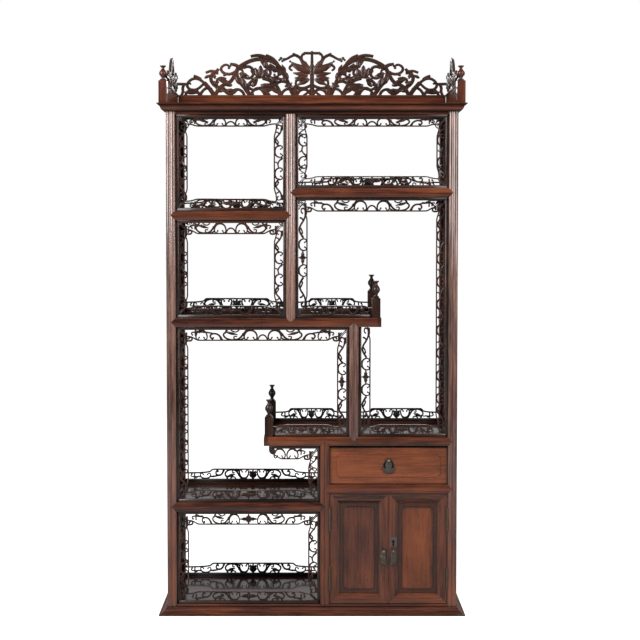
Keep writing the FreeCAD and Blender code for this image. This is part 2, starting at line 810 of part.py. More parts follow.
def build_finial_posts():
    """Two pairs on the stepped shelves and one pair at the front corners of the top."""
    step_posts = []
    for x, z in ((right_post_x, shelf_c_z), (left_post_x - finial_post_width, shelf_d_z)):
        step_posts += [finial_post(x, y, z + rail_height, step_post_height + rise,
                                   step_finial_height)
                       for y, rise in ((step_y0, 0), (step_y1, back_step_rise))]
    save("step_finial_posts", step_posts)
    outer = half_width + mould_overhang - top_gallery_inset
    y = -depth_total / 2 + top_gallery_inset
    save("top_finial_posts", [
        finial_post(x, y, cornice_top, finial_post_height, finial_height)
        for x in (-outer, outer - finial_post_width)])


# Crest

# Each step of an outline runs from the outer end to the middle, as shares of the half run and
# of the rise: two numbers for a straight line, four for an arc through a point to its end.

crest_step_shares = [
    (1.0, 0.25), (0.923, 0.25), (0.859, 0.44, 0.785, 0.26), (0.742, 0.56, 0.70, 0.38),
    (0.63, 0.70, 0.547, 0.62), (0.405, 0.91, 0.24, 0.74), (0.15, 0.93, 0.066, 0.88),
    (0.066, 1.0)]
crest_window_shares = [
    [(0.90, 0.10), (0.90, 0.24), (0.86, 0.35), (0.81, 0.24), (0.81, 0.10)],
    [(0.77, 0.10), (0.765, 0.34), (0.742, 0.46), (0.72, 0.34), (0.72, 0.10)],
    [(0.67, 0.40), (0.66, 0.53), (0.62, 0.61), (0.575, 0.55), (0.57, 0.40)],
    [(0.68, 0.07), (0.66, 0.30), (0.57, 0.32), (0.55, 0.07)],
    [(0.53, 0.36), (0.52, 0.58), (0.46, 0.78), (0.45, 0.38)],
    [(0.33, 0.40), (0.33, 0.76), (0.28, 0.64), (0.265, 0.42)],
    [(0.48, 0.07), (0.44, 0.28), (0.37, 0.28), (0.36, 0.07)],
    [(0.32, 0.07), (0.33, 0.28), (0.25, 0.32), (0.235, 0.07)],
    [(0.225, 0.42), (0.225, 0.68), (0.19, 0.72), (0.14, 0.60), (0.17, 0.40)],
    [(0.19, 0.08), (0.18, 0.30), (0.12, 0.34), (0.10, 0.08)],
    [(0.095, 0.42), (0.075, 0.54), (0.03, 0.60), (0.03, 0.42)],
    [(0.065, 0.08), (0.06, 0.32), (0.02, 0.32), (0.02, 0.08)],
]
side_front_shares = [(1.0, 0.24), (0.78, 0.24), (0.62, 0.50, 0.42, 0.44), (0.28, 0.88, 0, 1.0)]
side_back_shares = [(1.0, 0.50), (0.88, 0.66), (0.70, 0.44), (0.50, 0.46),
                    (0.30, 0.88, 0, 1.0)]
side_window_shares = [
    [(0.06, 0.10), (0.27, 0.10), (0.21, 0.34), (0.08, 0.36)],
    [(0.05, 0.50), (0.21, 0.44), (0.24, 0.62), (0.08, 0.82)],
    [(0.36, 0.08), (0.58, 0.08), (0.54, 0.28), (0.38, 0.30)],
    [(0.68, 0.07), (0.90, 0.07), (0.88, 0.15), (0.72, 0.15)],
]


def crest_face(half_run, rise, outlines, windows, place):
    """The face of a pierced board. place turns a run from the middle and a height into a point.

    outlines holds the steps of the half on the negative side and of the other half.
    """
    def point(side, u, v):
        return place(side * u * half_run, crest_rail + v * rise)

    edges = [Part.makeLine(place(-half_run, 0), place(half_run, 0))]
    middles = []
    for side, steps in zip((-1, 1), outlines):
        last = place(side * half_run, 0)
        for step in steps:
            end = point(side, *step[-2:])
            if len(step) > 2:
                edges.append(Part.Arc(last, point(side, *step[:2]), end).toShape())
            else:
                edges.append(Part.makeLine(last, end))
            last = end
        middles.append(last)
    if middles[0].distanceToPoint(middles[1]) > 0:
        edges.append(Part.makeLine(*middles))
    outer = Part.Wire(Part.sortEdges(edges)[0])
    holes = [polygon([point(side, u, v) for u, v in window])
             for window in windows for side in (-1, 1)]
    return Part.makeFace([outer, *holes], "Part::FaceMakerBullseye")


def build_crest():
    """The back board and the two side boards of the pierced gallery on the top."""
    outer = half_width + mould_overhang - top_gallery_inset
    side_x = outer - finial_post_width + crest_thickness
    back_front_y = back_y - crest_back_inset - crest_thickness
    z = cornice_top
    face = crest_face(side_x, crest_height - crest_rail, (crest_step_shares, crest_step_shares),
                      crest_window_shares, lambda u, v: Vec(u, back_front_y, z + v))
    save("crest_back_board", [face.extrude(Vec(0, crest_thickness, 0))])

    y0 = -depth_total / 2 + top_gallery_inset + finial_post_width
    middle = (y0 + back_front_y) / 2
    half_run = (back_front_y - y0) / 2
    for name, x in (("crest_left_board", -side_x), ("crest_right_board", side_x - crest_thickness)):
        face = crest_face(half_run, side_crest_height - crest_rail,
                          (side_front_shares, side_back_shares), side_window_shares,
                          lambda u, v: Vec(x, middle + u, z + v))
        save(name, [face.extrude(Vec(crest_thickness, 0, 0))])


# Drop handles

def drop(x, z, length, width, shape_shares):
    """A flat drop on an eye, and the ears and pin that carry it."""
    axis = face_y - eye_radius - ear_gap
    tube_half = width / 8

    def rod(radius, count, half_length):
        ring = [Vec(x - half_length, axis + u, z + v) for u, v in facet_ring(radius, count)]
        return prism(ring, Vec(2 * half_length, 0, 0))

    neck = math.hypot(eye_radius, pin_radius) + ear_gap
    half_outline = [(tube_half, 0), (tube_half, neck)]
    half_outline += [(u * width / 2, neck + v * (length - neck)) for u, v in shape_shares]
    outline = [(x + u, z - v) for u, v in half_outline]
    outline += [(x - u, z - v) for u, v in reversed(half_outline)]
    plate = xz_prism(outline, axis - drop_thickness / 2, axis + drop_thickness / 2)
    bore = Part.makeCylinder(pin_radius + pin_clearance, 2 * tube_half + 2 * overrun,
                             Vec(x - tube_half - overrun, axis, z), Vec(1, 0, 0))
    moving = plate.fuse(rod(eye_radius, eye_facets, tube_half)).removeSplitter().cut(bore)
    ear_x = tube_half + ear_gap
    ears = [box(x + s, x + s + ear_width, axis - pin_radius, face_y,
                z - eye_radius, z + eye_radius) for s in (-ear_x - ear_width, ear_x)]
    fixed = rod(pin_radius, pin_facets, ear_x + ear_width / 2).fuse(ears).removeSplitter()
    return moving, fixed


handle_shares = [(0.32, 0.0), (0.42, 0.09), (0.95, 0.33), (1.0, 0.54), (0.72, 0.80), (0.22, 1.0)]
pull_shares = [(0.26, 0.0), (0.30, 0.12), (0.62, 0.48), (0.66, 0.65), (1.0, 0.70), (0.80, 0.87),
               (0.40, 1.0)]


# Drawer

def notched_field(x0, x1, z0, z1, notch):
    """A rectangle whose corners step in, as on the drawer and the door panels."""
    return [(x0 + notch, z0), (x1 - notch, z0), (x1 - notch, z0 + notch), (x1, z0 + notch),
            (x1, z1 - notch), (x1 - notch, z1 - notch), (x1 - notch, z1), (x0 + notch, z1),
            (x0 + notch, z1 - notch), (x0, z1 - notch), (x0, z0 + notch),
            (x0 + notch, z0 + notch)]


def build_drawer():
    """Front, two sides, back, bottom and the pull."""
    z0 = rail_g_z + rail_height + slide_gap
    z1 = shelf_d_z - drawer_top_gap
    x0, x1 = door_left, door_right
    back = face_y + drawer_front_thickness
    rear = back_panel_y - back_rail_depth - drawer_rear_gap
    field = notched_field(x0 + field_inset, x1 - field_inset, z0 + field_inset,
                          z1 - field_inset, field_notch)
    board_y = face_y + field_height
    groove_z = z0 + drawer_wall
    bottom = box(x0 + drawer_wall - tongue, x1 - drawer_wall + tongue, back - tongue,
                 rear - drawer_wall / 2, groove_z, groove_z + drawer_bottom)
    front = box(x0, x1, board_y, back, z0, z1).fuse(xz_prism(field, face_y, board_y))
    front = front.removeSplitter().cut(bottom)
    sides = [box(x, x + drawer_wall, back, rear, z0, z1 - drawer_side_drop)
             for x in (x0, x1 - drawer_wall)]
    end_board = box(x0 + drawer_wall, x1 - drawer_wall, rear - drawer_wall, rear,
                    z0, z1 - drawer_side_drop)
    save("drawer_front", [front])
    save("drawer_sides", [side.cut(bottom) for side in sides])
    save("drawer_back", [end_board.cut(bottom)])
    save("drawer_bottom", [bottom])
    moving, fixed = drop(door_middle, pull_z, pull_length, pull_width, pull_shares)
    save("drawer_pull_drop", [moving])
    save("drawer_pull_mount", [fixed])


# Doors

def door_frame(x0, x1, planed):
    """Two stiles and two rails, mitred, with a bevel that runs in to the panel.

    planed is what comes off the edge where the two doors meet.
    """
    z0, z1 = door_low, door_high
    groove = face_y + door_panel_depth
    section = [(0, face_y), (stile_width - stile_bevel, face_y),
               (stile_width, face_y + bevel_depth), (stile_width, groove),
               (stile_width - tongue, groove), (stile_width - tongue, groove + door_panel_thickness),
               (stile_width, groove + door_panel_thickness), (stile_width, door_back_y),
               (0, door_back_y)]
    w = stile_width
    plans = {
        "low": [(x0, z0), (x1, z0), (x1 - w, z0 + w), (x0 + w, z0 + w)],
        "right": [(x1, z0), (x1, z1), (x1 - w, z1 - w), (x1 - w, z0 + w)],
        "high": [(x1, z1), (x0, z1), (x0 + w, z1 - w), (x1 - w, z1 - w)],
        "left": [(x0, z1), (x0, z0), (x0 + w, z0 + w), (x0 + w, z1 - w)],
    }
    places = {
        "low": (lambda d, y: Vec(x0, y, z0 + d), Vec(x1 - x0, 0, 0)),
        "high": (lambda d, y: Vec(x0, y, z1 - d), Vec(x1 - x0, 0, 0)),
        "left": (lambda d, y: Vec(x0 + d, y, z0), Vec(0, 0, z1 - z0)),
        "right": (lambda d, y: Vec(x1 - d, y, z0), Vec(0, 0, z1 - z0)),
    }
    members = {}
    for name, (place, run) in places.items():
        bar = prism([place(d, y) for d, y in section], run)
        mitred = xz_prism(plans[name], face_y - overrun, door_back_y + overrun)
        members[name] = bar.common(mitred).cut(planed)
    return members


def door_panel(x0, x1):
    """A thin panel in the frame's grooves, with a raised field whose corners step in."""
    reach = stile_width - tongue
    y0 = face_y + door_panel_depth
    board = box(x0 + reach, x1 - reach, y0, y0 + door_panel_thickness,
                door_low + reach, door_high - reach)
    inset = stile_width + door_field_inset
    field = notched_field(x0 + inset, x1 - inset, door_low + inset, door_high - inset,
                          field_notch)
    raised = xz_prism(field, y0 - field_height, y0)
    return board.fuse(raised).removeSplitter()


left_door_x1 = door_middle - door_gap / 2
right_door_x0 = door_middle + door_gap / 2
swing_reach = left_door_x1 - left_axis_x
meeting_bevel = swing_reach - math.sqrt(
    (swing_reach + door_gap - meeting_clearance) ** 2 - (door_back_y - axis_y) ** 2)
keyhole_x = right_door_x0 + stile_width / 2
lock_x0 = right_door_x0 + stile_width / 2 - lock_width / 2
lock_y0 = door_back_y - lock_depth


def planed_edge(x, way):
    """What is planed off a meeting stile, so that its back corner swings past the other door."""
    return xy_prism([(x, face_y), (x - way * meeting_bevel, door_back_y),
                     (x + way * overrun, door_back_y), (x + way * overrun, face_y)],
                    door_low - overrun, door_high + overrun)


def build_doors():
    """Both doors with their panels and handles, and the lock in the right door."""
    left = door_frame(door_left, left_door_x1, planed_edge(left_door_x1, 1))
    right = door_frame(right_door_x0, door_right, planed_edge(right_door_x0, -1))
    pockets = [hinge_pocket(left_axis_x, 1, z) for z in hinge_lows]
    left["left"] = cut_all(left["left"], pockets)
    pockets = [hinge_pocket(right_axis_x, -1, z) for z in hinge_lows]
    right["right"] = cut_all(right["right"], pockets)

    lock_pocket = box(lock_x0, lock_x0 + lock_width, lock_y0, door_back_y + overrun,
                      lock_z - lock_height / 2, lock_z + lock_height / 2)
    bolt_y = lock_y0 + (lock_depth - bolt_depth) / 2
    bolt_z = lock_z - bolt_height / 2
    bolt_slot = box(right_door_x0 - overrun, lock_x0, bolt_y - bolt_gap,
                    bolt_y + bolt_depth + bolt_gap, bolt_z - bolt_gap,
                    bolt_z + bolt_height + bolt_gap)
    hole = Part.makeCylinder(keyhole_radius, door_thickness, Vec(keyhole_x, face_y - overrun, lock_z),
                             Vec(0, 1, 0))
    slot = box(keyhole_x - keyhole_slot_width / 2, keyhole_x + keyhole_slot_width / 2,
               face_y - overrun, lock_y0, lock_z - keyhole_slot, lock_z)
    right["left"] = cut_all(right["left"], [lock_pocket, bolt_slot, hole, slot])
    strike = box(left_door_x1 - bolt_throw - bolt_gap, left_door_x1 + overrun,
                 bolt_y - bolt_gap, bolt_y + bolt_depth + bolt_gap,
                 bolt_z - bolt_gap, bolt_z + bolt_height + bolt_gap)
    left["right"] = left["right"].cut(strike)

    case = box(lock_x0, lock_x0 + lock_width, lock_y0, door_back_y,
               lock_z - lock_height / 2, lock_z + lock_height / 2)
    bolt_x0 = right_door_x0 + meeting_bevel + bolt_gap
    case_slot = box(lock_x0 - overrun, bolt_x0 + bolt_length + bolt_gap, bolt_y - bolt_gap / 3,
                    bolt_y + bolt_depth + bolt_gap / 3, bolt_z - bolt_gap / 3,
                    bolt_z + bolt_height + bolt_gap / 3)
    key_slot = box(keyhole_x - keyhole_slot_width / 2, keyhole_x + keyhole_slot_width / 2,
                   lock_y0 - overrun, bolt_y - bolt_gap, lock_z - keyhole_slot,
                   lock_z + keyhole_radius)
    save("lock_case", [cut_all(case, [case_slot, key_slot])])
    save("lock_bolt", [box(bolt_x0, bolt_x0 + bolt_length, bolt_y, bolt_y + bolt_depth,
                           bolt_z, bolt_z + bolt_height)])

    save("left_door_frame", list(left.values()))
    save("left_door_panel", [door_panel(door_left, left_door_x1)])
    save("right_door_frame", list(right.values()))
    save("right_door_panel", [door_panel(right_door_x0, door_right)])

    for side, x in (("left", left_door_x1 - stile_width / 2),
                    ("right", right_door_x0 + stile_width / 2)):
        moving, fixed = drop(x, handle_z, handle_length, handle_width, handle_shares)
        save(side + "_handle_drop", [moving])
        save(side + "_handle_mount", [fixed])


def rod_on_axis(x, radius, count, z0, z1):
    """An upright rod on a hinge's axis, drawn with flat facets."""
    return xy_prism([(x + u, axis_y + v) for u, v in facet_ring(radius, count)], z0, z1)


def barrel(x, z0, z1):
    """A rolled knuckle of a hinge."""
    return rod_on_axis(x, knuckle_radius, knuckle_facets, z0, z1)


def hinge(axis_x, way, z0):
    """One butt hinge: the door's leaf, and the post's leaf with the pin fixed in it.

    way is +1 where the door lies to the right of the axis.
    """
    third = hinge_length / 3
    z1 = z0 + hinge_length
    low, high = z0 + third, z1 - third

    def leaf(side, knuckles):
        near = axis_x + side * leaf_gap / 2
        far = axis_x + side * (leaf_gap / 2 + leaf_thickness)
        x0, x1 = min(near, far), max(near, far)
        plate = box(x0, x1, axis_y + knuckle_room, axis_y + leaf_width, z0, z1)
        for a, b in knuckles:
            tab = box(x0, x1, axis_y, axis_y + knuckle_room, a, b)
            plate = plate.fuse([barrel(axis_x, a, b), tab])
        return plate.removeSplitter()

    bore = Part.makeCylinder(pin_radius + pin_clearance, hinge_length, Vec(axis_x, axis_y, z0))
    door_leaf = leaf(way, [(low + knuckle_gap, high - knuckle_gap)]).cut(bore)
    pin = rod_on_axis(axis_x, pin_radius, pin_facets, z0, z1)
    post_leaf = leaf(-way, [(z0, low), (high, z1)]).fuse(pin).removeSplitter()
    return door_leaf, post_leaf


def build_hinges():
    """Two hinges to each door."""
    for side, axis_x, way in (("left", left_axis_x, 1), ("right", right_axis_x, -1)):
        pairs = [hinge(axis_x, way, z) for z in hinge_lows]
        save(side + "_door_hinge_leaves", [pair[0] for pair in pairs])
        save(side + "_post_hinge_leaves", [pair[1] for pair in pairs])


build_posts()
build_plinth_and_cornice()
build_shelves()
build_cupboard_walls()
build_drawer_frame()
build_front_frets()
build_side_frets()
build_back_galleries()
build_finial_posts()
build_crest()
build_drawer()
build_doors()
build_hinges()
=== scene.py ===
# %% [markdown]
# # A carved display cabinet
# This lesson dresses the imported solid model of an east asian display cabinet. The solid model
# gives every post, rail and board its place. Blender adds what a carver and a polisher add:
# vine scrolls, turned finials, bronze drops, grain and wear. Everything is in metres.

# %% Load the solid model
import math

import bmesh
import bpy
from mathutils import Matrix, Vector


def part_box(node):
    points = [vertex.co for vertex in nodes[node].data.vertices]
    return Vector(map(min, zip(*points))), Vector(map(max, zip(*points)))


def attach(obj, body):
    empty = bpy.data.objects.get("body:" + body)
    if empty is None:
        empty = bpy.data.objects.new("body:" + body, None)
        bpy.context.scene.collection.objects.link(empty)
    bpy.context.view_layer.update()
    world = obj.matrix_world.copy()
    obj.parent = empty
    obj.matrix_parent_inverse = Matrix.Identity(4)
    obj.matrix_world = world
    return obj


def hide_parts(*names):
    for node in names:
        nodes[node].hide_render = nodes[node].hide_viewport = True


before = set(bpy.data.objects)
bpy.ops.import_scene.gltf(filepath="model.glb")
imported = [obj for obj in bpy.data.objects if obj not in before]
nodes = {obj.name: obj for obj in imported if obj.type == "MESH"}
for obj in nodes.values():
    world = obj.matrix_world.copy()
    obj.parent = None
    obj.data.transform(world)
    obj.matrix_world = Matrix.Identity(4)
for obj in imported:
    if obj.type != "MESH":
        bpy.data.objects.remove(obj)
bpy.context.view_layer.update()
MM = 0.001

# %% [markdown]
# ## The camera
# The photograph was taken about 3.6 m in front of the cabinet, a little above its middle,
# with a long lens. The camera tips down by two degrees, and a small shift of the lens brings
# the cabinet to its place in the frame without bending the upright posts.

# %% Camera
CAMERA_PLACE = Vector((0.0, -3.767, 1.235))
CAMERA_TILT = math.radians(1.95)
LENS_MM = 63.0
LENS_SHIFT = (0.0125, -0.0725)

camera_data = bpy.data.cameras.new("camera")
camera_data.lens = LENS_MM
camera_data.sensor_width = 36.0
camera_data.shift_x, camera_data.shift_y = LENS_SHIFT
camera = bpy.data.objects.new("camera", camera_data)
bpy.context.collection.objects.link(camera)
camera.location = CAMERA_PLACE
camera.rotation_euler = (math.radians(90) - CAMERA_TILT, 0, 0)
bpy.context.scene.camera = camera
print("camera", tuple(round(c, 3) for c in CAMERA_PLACE), "lens", LENS_MM)

# %% [markdown]
# ## Shader sums in plain Python
# A finish is easier to read as a formula than as a web of nodes. One small class wraps a
# socket, so that adding or multiplying two of them puts the Math node in for us.

# %% A wrapped socket and a finish
class Value:
    """A node socket that can be used in a sum."""

    def __init__(self, finish, socket):
        self.finish, self.socket = finish, socket

    def math(self, operation, first, second):
        return self.finish.node("ShaderNodeMath", {"operation": operation}, [first, second])

    def __add__(self, other):
        return self.math("ADD", self, other)

    def __sub__(self, other):
        return self.math("SUBTRACT", self, other)

    def __mul__(self, other):
        return self.math("MULTIPLY", self, other)

    __radd__, __rmul__ = __add__, __mul__

    def __rsub__(self, other):
        return self.math("SUBTRACT", other, self)


class Finish:
    """A material, or the world, whose nodes come from one method."""

    def __init__(self, name, kind=bpy.data.materials, shader="Principled BSDF"):
        self.material = kind.new(name)
        self.material.use_nodes = True
        self.tree = self.material.node_tree
        self.shader = self.tree.nodes[shader]

    def node(self, kind, settings=None, inputs=(), output=0):
        """Adds a node. inputs is a list in socket order or a dict by socket name."""
        made = self.tree.nodes.new(kind)
        for name, setting in (settings or {}).items():
            setattr(made, name, setting)
        pairs = inputs.items() if isinstance(inputs, dict) else enumerate(inputs)
        for key, value in pairs:
            self.put(made.inputs[key], value)
        return Value(self, made.outputs[output])

    def put(self, socket, value):
        if isinstance(value, Value):
            self.tree.links.new(value.socket, socket)
        elif value is not None:
            socket.default_value = value

    def mix(self, share, first, second):
        """A colour between two colours."""
        colours = [(*c, 1) if isinstance(c, tuple) else c for c in (first, second)]
        return self.node("ShaderNodeMix", {"data_type": "RGBA"},
                         {0: share, 6: colours[0], 7: colours[1]}, output=2)

    def ramp(self, value, low, high):
        """A value stretched so that low gives 0 and high gives 1."""
        return self.node("ShaderNodeMapRange", {"clamp": True},
                         {"Value": value, "From Min": low, "From Max": high})

    def noise(self, place, scale, detail=4.0, rough=0.5):
        return self.node("ShaderNodeTexNoise", {},
                         {"Vector": place, "Scale": scale, "Detail": detail, "Roughness": rough})

    def place(self, stretch=(1, 1, 1), shift=(0, 0, 0)):
        """Object coordinates, stretched."""
        spot = self.node("ShaderNodeTexCoord", output=3)
        return self.node("ShaderNodeMapping", {}, {"Vector": spot, "Scale": stretch,
                                                   "Location": shift})

    def bump(self, height, depth, distance):
        return self.node("ShaderNodeBump", {}, {"Height": height, "Strength": depth,
                                                "Distance": distance})

    def part(self, vector, axis):
        """One coordinate of a vector: 0, 1 or 2 for x, y or z."""
        return self.node("ShaderNodeSeparateXYZ", {}, [vector], output=axis)

    def facing(self):
        """The normal of the face itself."""
        return self.node("ShaderNodeNewGeometry", output=1)

    def edges(self, radius, low, high):
        """High along the edges, where a normal smoothed over a radius leaves the true one."""
        smooth = self.node("ShaderNodeBevel", {"samples": 4}, {"Radius": radius})
        same = self.node("ShaderNodeVectorMath", {"operation": "DOT_PRODUCT"},
                         [smooth, self.facing()], output=1)
        return self.ramp(1 - same, low, high)


# %% [markdown]
# ## Waxed hardwood
# The cabinet is a dense red-brown hardwood under many coats of wax. Grain runs along each
# member, so there is one finish for each direction: noise that is stretched a long way along
# the grain. Three scales of it give broad tone, streaks and open pores. The edges are lighter
# and smoother, partly from handling and partly as a painted highlight. Dust, wax and painted
# shade darken the hollows, and faces that look down carry painted shade.

# %% Wood finishes
HOLLOW_REACH = 18 * MM
GRIME_AND_SHADE = (0.005, 0.0028, 0.0022)
UNDERSIDE_SHADE = (0.010, 0.005, 0.004)
ALONG_GRAIN = 0.06
TONES, STREAKS, PORES, BLOTCHES, WORN = 24.0, 170.0, 620.0, 4.5, 26.0


def wood(name, along, dark, light, glow, gloss=0.30, wear=0.3, coat=0.5, lit_top=None,
         field=None, rim=0.0):
    """A waxed wood with its grain along the axis numbered along.

    A dark and a light tone given for the top are what the wood turns to with the height: painted
    light, paler higher up as if lit from above. Outside a field, given as the middle and the half
    size in x and z, the wood is darker by the share rim.
    """
    f = Finish(name)
    stretch = tuple(ALONG_GRAIN if axis == along else 1.0 for axis in range(3))
    spot = f.place(stretch, (0.37, 0.11, 0.23))
    tone = f.noise(spot, TONES, 3.0)
    streak = f.noise(spot, STREAKS, 5.0, 0.62)
    pores = f.ramp(f.noise(spot, PORES, 3.0, 0.7), 0.60, 0.72)
    blotch = f.noise(f.place((1, 1, 1), (1.7, 0.4, 0.9)), BLOTCHES, 2.0)
    figure = f.ramp(tone * 0.5 + streak * 0.5, 0.39, 0.61)
    colour = f.mix(figure, dark, light)
    colour = f.mix(f.ramp(blotch, 0.45, 0.75) * figure * 0.8, colour, glow)
    # Painted light: the wood turns paler higher up, as if lit from above.
    if lit_top:
        colour = f.mix(f.ramp(f.part(f.place(), 2), 0.20, 1.05), colour, f.mix(figure, *lit_top))
    if field:
        within = 1
        for middle, half, axis in zip(field[:2], field[2:], (0, 2)):
            off = f.part(f.place(), axis) - middle
            within = (1 - f.ramp(off * off, (half - 3 * MM) ** 2, (half + MM) ** 2)) * within
        colour = f.mix((1 - within) * rim, colour, f.mix(figure, dark, shade(light, 0.4)))
    colour = f.mix(pores * 0.6, colour, shade(dark, 0.35))
    # Lighter edges: partly wear from handling, partly a painted highlight.
    edge = f.edges(1.6 * MM, 0.015, 0.22) * f.ramp(streak, 0.35, 0.6)
    colour = f.mix(edge * wear, colour, tuple(min(c * 1.5 + 0.03, 1) for c in light))
    # Dust, wax and painted shade darken the hollows.
    open_air = f.node("ShaderNodeAmbientOcclusion", {"samples": 6}, {"Distance": HOLLOW_REACH},
                      output=1)
    under = f.ramp(0 - f.part(f.facing(), 2), 0.55, 0.90)
    colour = f.mix(f.ramp(1 - open_air, 0.10, 0.52) * 0.94, colour, GRIME_AND_SHADE)
    # Painted shade on faces that look down.
    f.put(f.shader.inputs["Base Color"], f.mix(under * 0.6, colour, UNDERSIDE_SHADE))
    rough = f.noise(f.place(), WORN, 4.0) * 0.16 + (gloss - 0.08) + pores * 0.12 - edge * 0.06
    f.put(f.shader.inputs["Roughness"], rough + under * 0.5)
    f.put(f.shader.inputs["Normal"], f.bump(streak * 0.4 - pores * 0.6, 0.28, 0.4 * MM))
    f.put(f.shader.inputs["Coat Weight"], (1 - under) * coat)
    f.shader.inputs["Coat Roughness"].default_value = 0.10
    f.shader.inputs["Specular IOR Level"].default_value = 0.18
    return f.material


def shade(tone, share):
    """A tone made darker."""
    return tuple(c * share for c in tone)


def each_way(name, tones, **look):
    """One wood for each direction of the grain."""
    return {axis: wood(name + "_" + axis, i, *tones, **look) for i, axis in enumerate("xyz")}


# Each wood by its dark streaks, its light wood and the glow in it. The two tones that the posts
# turn to higher up are painted light, paler as if lit from above, and have no glow.
RED_BROWN = ((0.015, 0.0045, 0.0032), (0.086, 0.023, 0.0105), (0.150, 0.041, 0.0135))
LIT_TOP_TONES = ((0.030, 0.0165, 0.0132), (0.196, 0.112, 0.089))
POLISHED = ((0.008, 0.0030, 0.0022), (0.040, 0.0125, 0.0070), (0.060, 0.018, 0.0085))
# Front bands and step finials: the carved wood made darker, painted shade.
SHADED_PIERCED = ((0.005, 0.0030, 0.0024), (0.027, 0.0108, 0.0076), (0.055, 0.0195, 0.0110))
CARVED = ((0.008, 0.0045, 0.0038), (0.036, 0.015, 0.0105), (0.070, 0.025, 0.014))
# Side bands: the carved wood darker still, painted shade inside the bays.
SHADED_SIDES = ((0.004, 0.0025, 0.0020), (0.020, 0.0088, 0.0062), (0.044, 0.017, 0.010))
SHADED = ((0.003, 0.002, 0.0018), (0.006, 0.0035, 0.003), (0.010, 0.005, 0.004))
AMBER = ((0.052, 0.0125, 0.0040), (0.150, 0.038, 0.0115), (0.220, 0.058, 0.0165))
HONEY = ((0.020, 0.0050, 0.0020), (0.088, 0.021, 0.0065), (0.165, 0.043, 0.0115))
CHERRY = ((0.016, 0.0046, 0.0030), (0.074, 0.0195, 0.0095), (0.120, 0.034, 0.0135))
BARE = ((0.16, 0.085, 0.045), (0.34, 0.20, 0.11), (0.36, 0.22, 0.13))
RAIL_TONE = {"shelf_upper_left_frame": 0.74}
RAIL_TIP = 13 * MM
FIELD_HALF = (49 * MM, 132 * MM)


def rail_wood(node):
    """The wood of a shelf's rails, with painted shade on the pointed ends against the posts."""
    (x0, _, z0), (x1, _, _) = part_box(node)
    return wood("rail_wood_" + node, 0, *(shade(c, RAIL_TONE.get(node, 1.0)) for c in RED_BROWN),
                wear=0.45, rim=0.85, field=((x0 + x1) / 2, z0, (x1 - x0) / 2 - RAIL_TIP, 1.0))


def panel_field(node):
    """The middle and the half size, in x and z, of the raised field of a door panel."""
    (x0, _, z0), (x1, _, z1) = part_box(node)
    return (x0 + x1) / 2, (z0 + z1) / 2, *FIELD_HALF


frame_wood = each_way("frame_wood", RED_BROWN, wear=0.45)
carved_wood = each_way("carved_wood", CARVED, gloss=0.36, coat=0.3)
shaded_pierced_wood = each_way("shaded_pierced_wood", SHADED_PIERCED, gloss=0.36, coat=0.3)
plinth_wood = each_way("plinth_wood", RED_BROWN, gloss=0.46, coat=0.12)
post_wood = wood("post_wood_z", 2, *RED_BROWN, gloss=0.24, wear=0.4, coat=1.0, lit_top=LIT_TOP_TONES)
shaded_side_wood = wood("deep_wood_z", 2, *SHADED_SIDES, gloss=0.36, coat=0.3)
amber_x = wood("amber_wood_x", 0, *AMBER, gloss=0.28, wear=0.25)
honey_z = wood("honey_wood_z", 2, *HONEY, gloss=0.28, wear=0.25,
               field=panel_field("right_door_panel"), rim=0.9)
cherry_z = wood("cherry_wood_z", 2, *CHERRY, gloss=0.28, wear=0.25,
                field=panel_field("left_door_panel"), rim=0.7)
bare_x = wood("bare_wood_x", 0, *BARE, gloss=0.55, wear=0.1, coat=0)
bare_y = wood("bare_wood_y", 1, *BARE, gloss=0.55, wear=0.1, coat=0)
polished_x = wood("polished_wood_x", 0, *POLISHED, gloss=0.22, wear=0.1, coat=1)
shaded_wood = wood("shaded_wood", 0, *SHADED, gloss=0.5, wear=0.1, coat=0.1)
print("wood finishes:", [m.name for m in bpy.data.materials if "wood" in m.name])

# %% [markdown]
# ## Aged brass and bronze
# Old cast drops are dark olive where they are not touched, and show metal on the high places.

# %% Metal finishes
def old_metal(name, metal, patina, cover, rough):
    """Metal under a patina that covers about that share of it."""
    f = Finish(name)
    cloud = f.noise(f.place(), 120.0, 5.0, 0.6)
    fleck = f.noise(f.place(), 900.0, 3.0)
    bare = f.edges(0.8 * MM, 0.01, 0.2) * 0.8
    covered = f.ramp(cloud + fleck * 0.25, 0.75 - cover, 0.95 - cover) * (1 - bare)
    f.put(f.shader.inputs["Base Color"], f.mix(covered, metal, patina))
    f.put(f.shader.inputs["Metallic"], 1 - covered * 0.55)
    f.put(f.shader.inputs["Roughness"], covered * 0.25 + rough)
    f.put(f.shader.inputs["Normal"], f.bump(cloud + fleck * 0.5, 0.3, 0.3 * MM))
    return f.material


bronze = old_metal("old_bronze", (0.22, 0.18, 0.13), (0.042, 0.036, 0.029), 0.36, 0.34)
dark_iron = old_metal("dark_iron", (0.010, 0.009, 0.008), (0.003, 0.0025, 0.0022), 0.7, 0.8)
plate_bronze = old_metal("plate_bronze", (0.17, 0.125, 0.11), (0.070, 0.050, 0.045), 0.5, 0.5)
hinge_bronze = old_metal("hinge_bronze", (0.26, 0.20, 0.11), (0.060, 0.040, 0.024), 0.40, 0.35)
brass = old_metal("old_brass", (0.62, 0.44, 0.20), (0.16, 0.11, 0.055), 0.15, 0.30)
print("metal finishes:", bronze.name, brass.name)

# %% [markdown]
# ## Joinery from the solid model
# Posts, rails, mouldings, boards and doors already have the right shape, so they stay. A
# real edge is never knife sharp, so each but the mouldings gets a fine bevel, after its loose
# triangles are merged back into flat faces. Grain follows each member: a face's member is
# found from the shape of the loose part that it belongs to, or in a mitred frame from the
# edge of the frame that it is nearest.

# %% Bevels and grain for the joinery
EDGE = 0.8 * MM


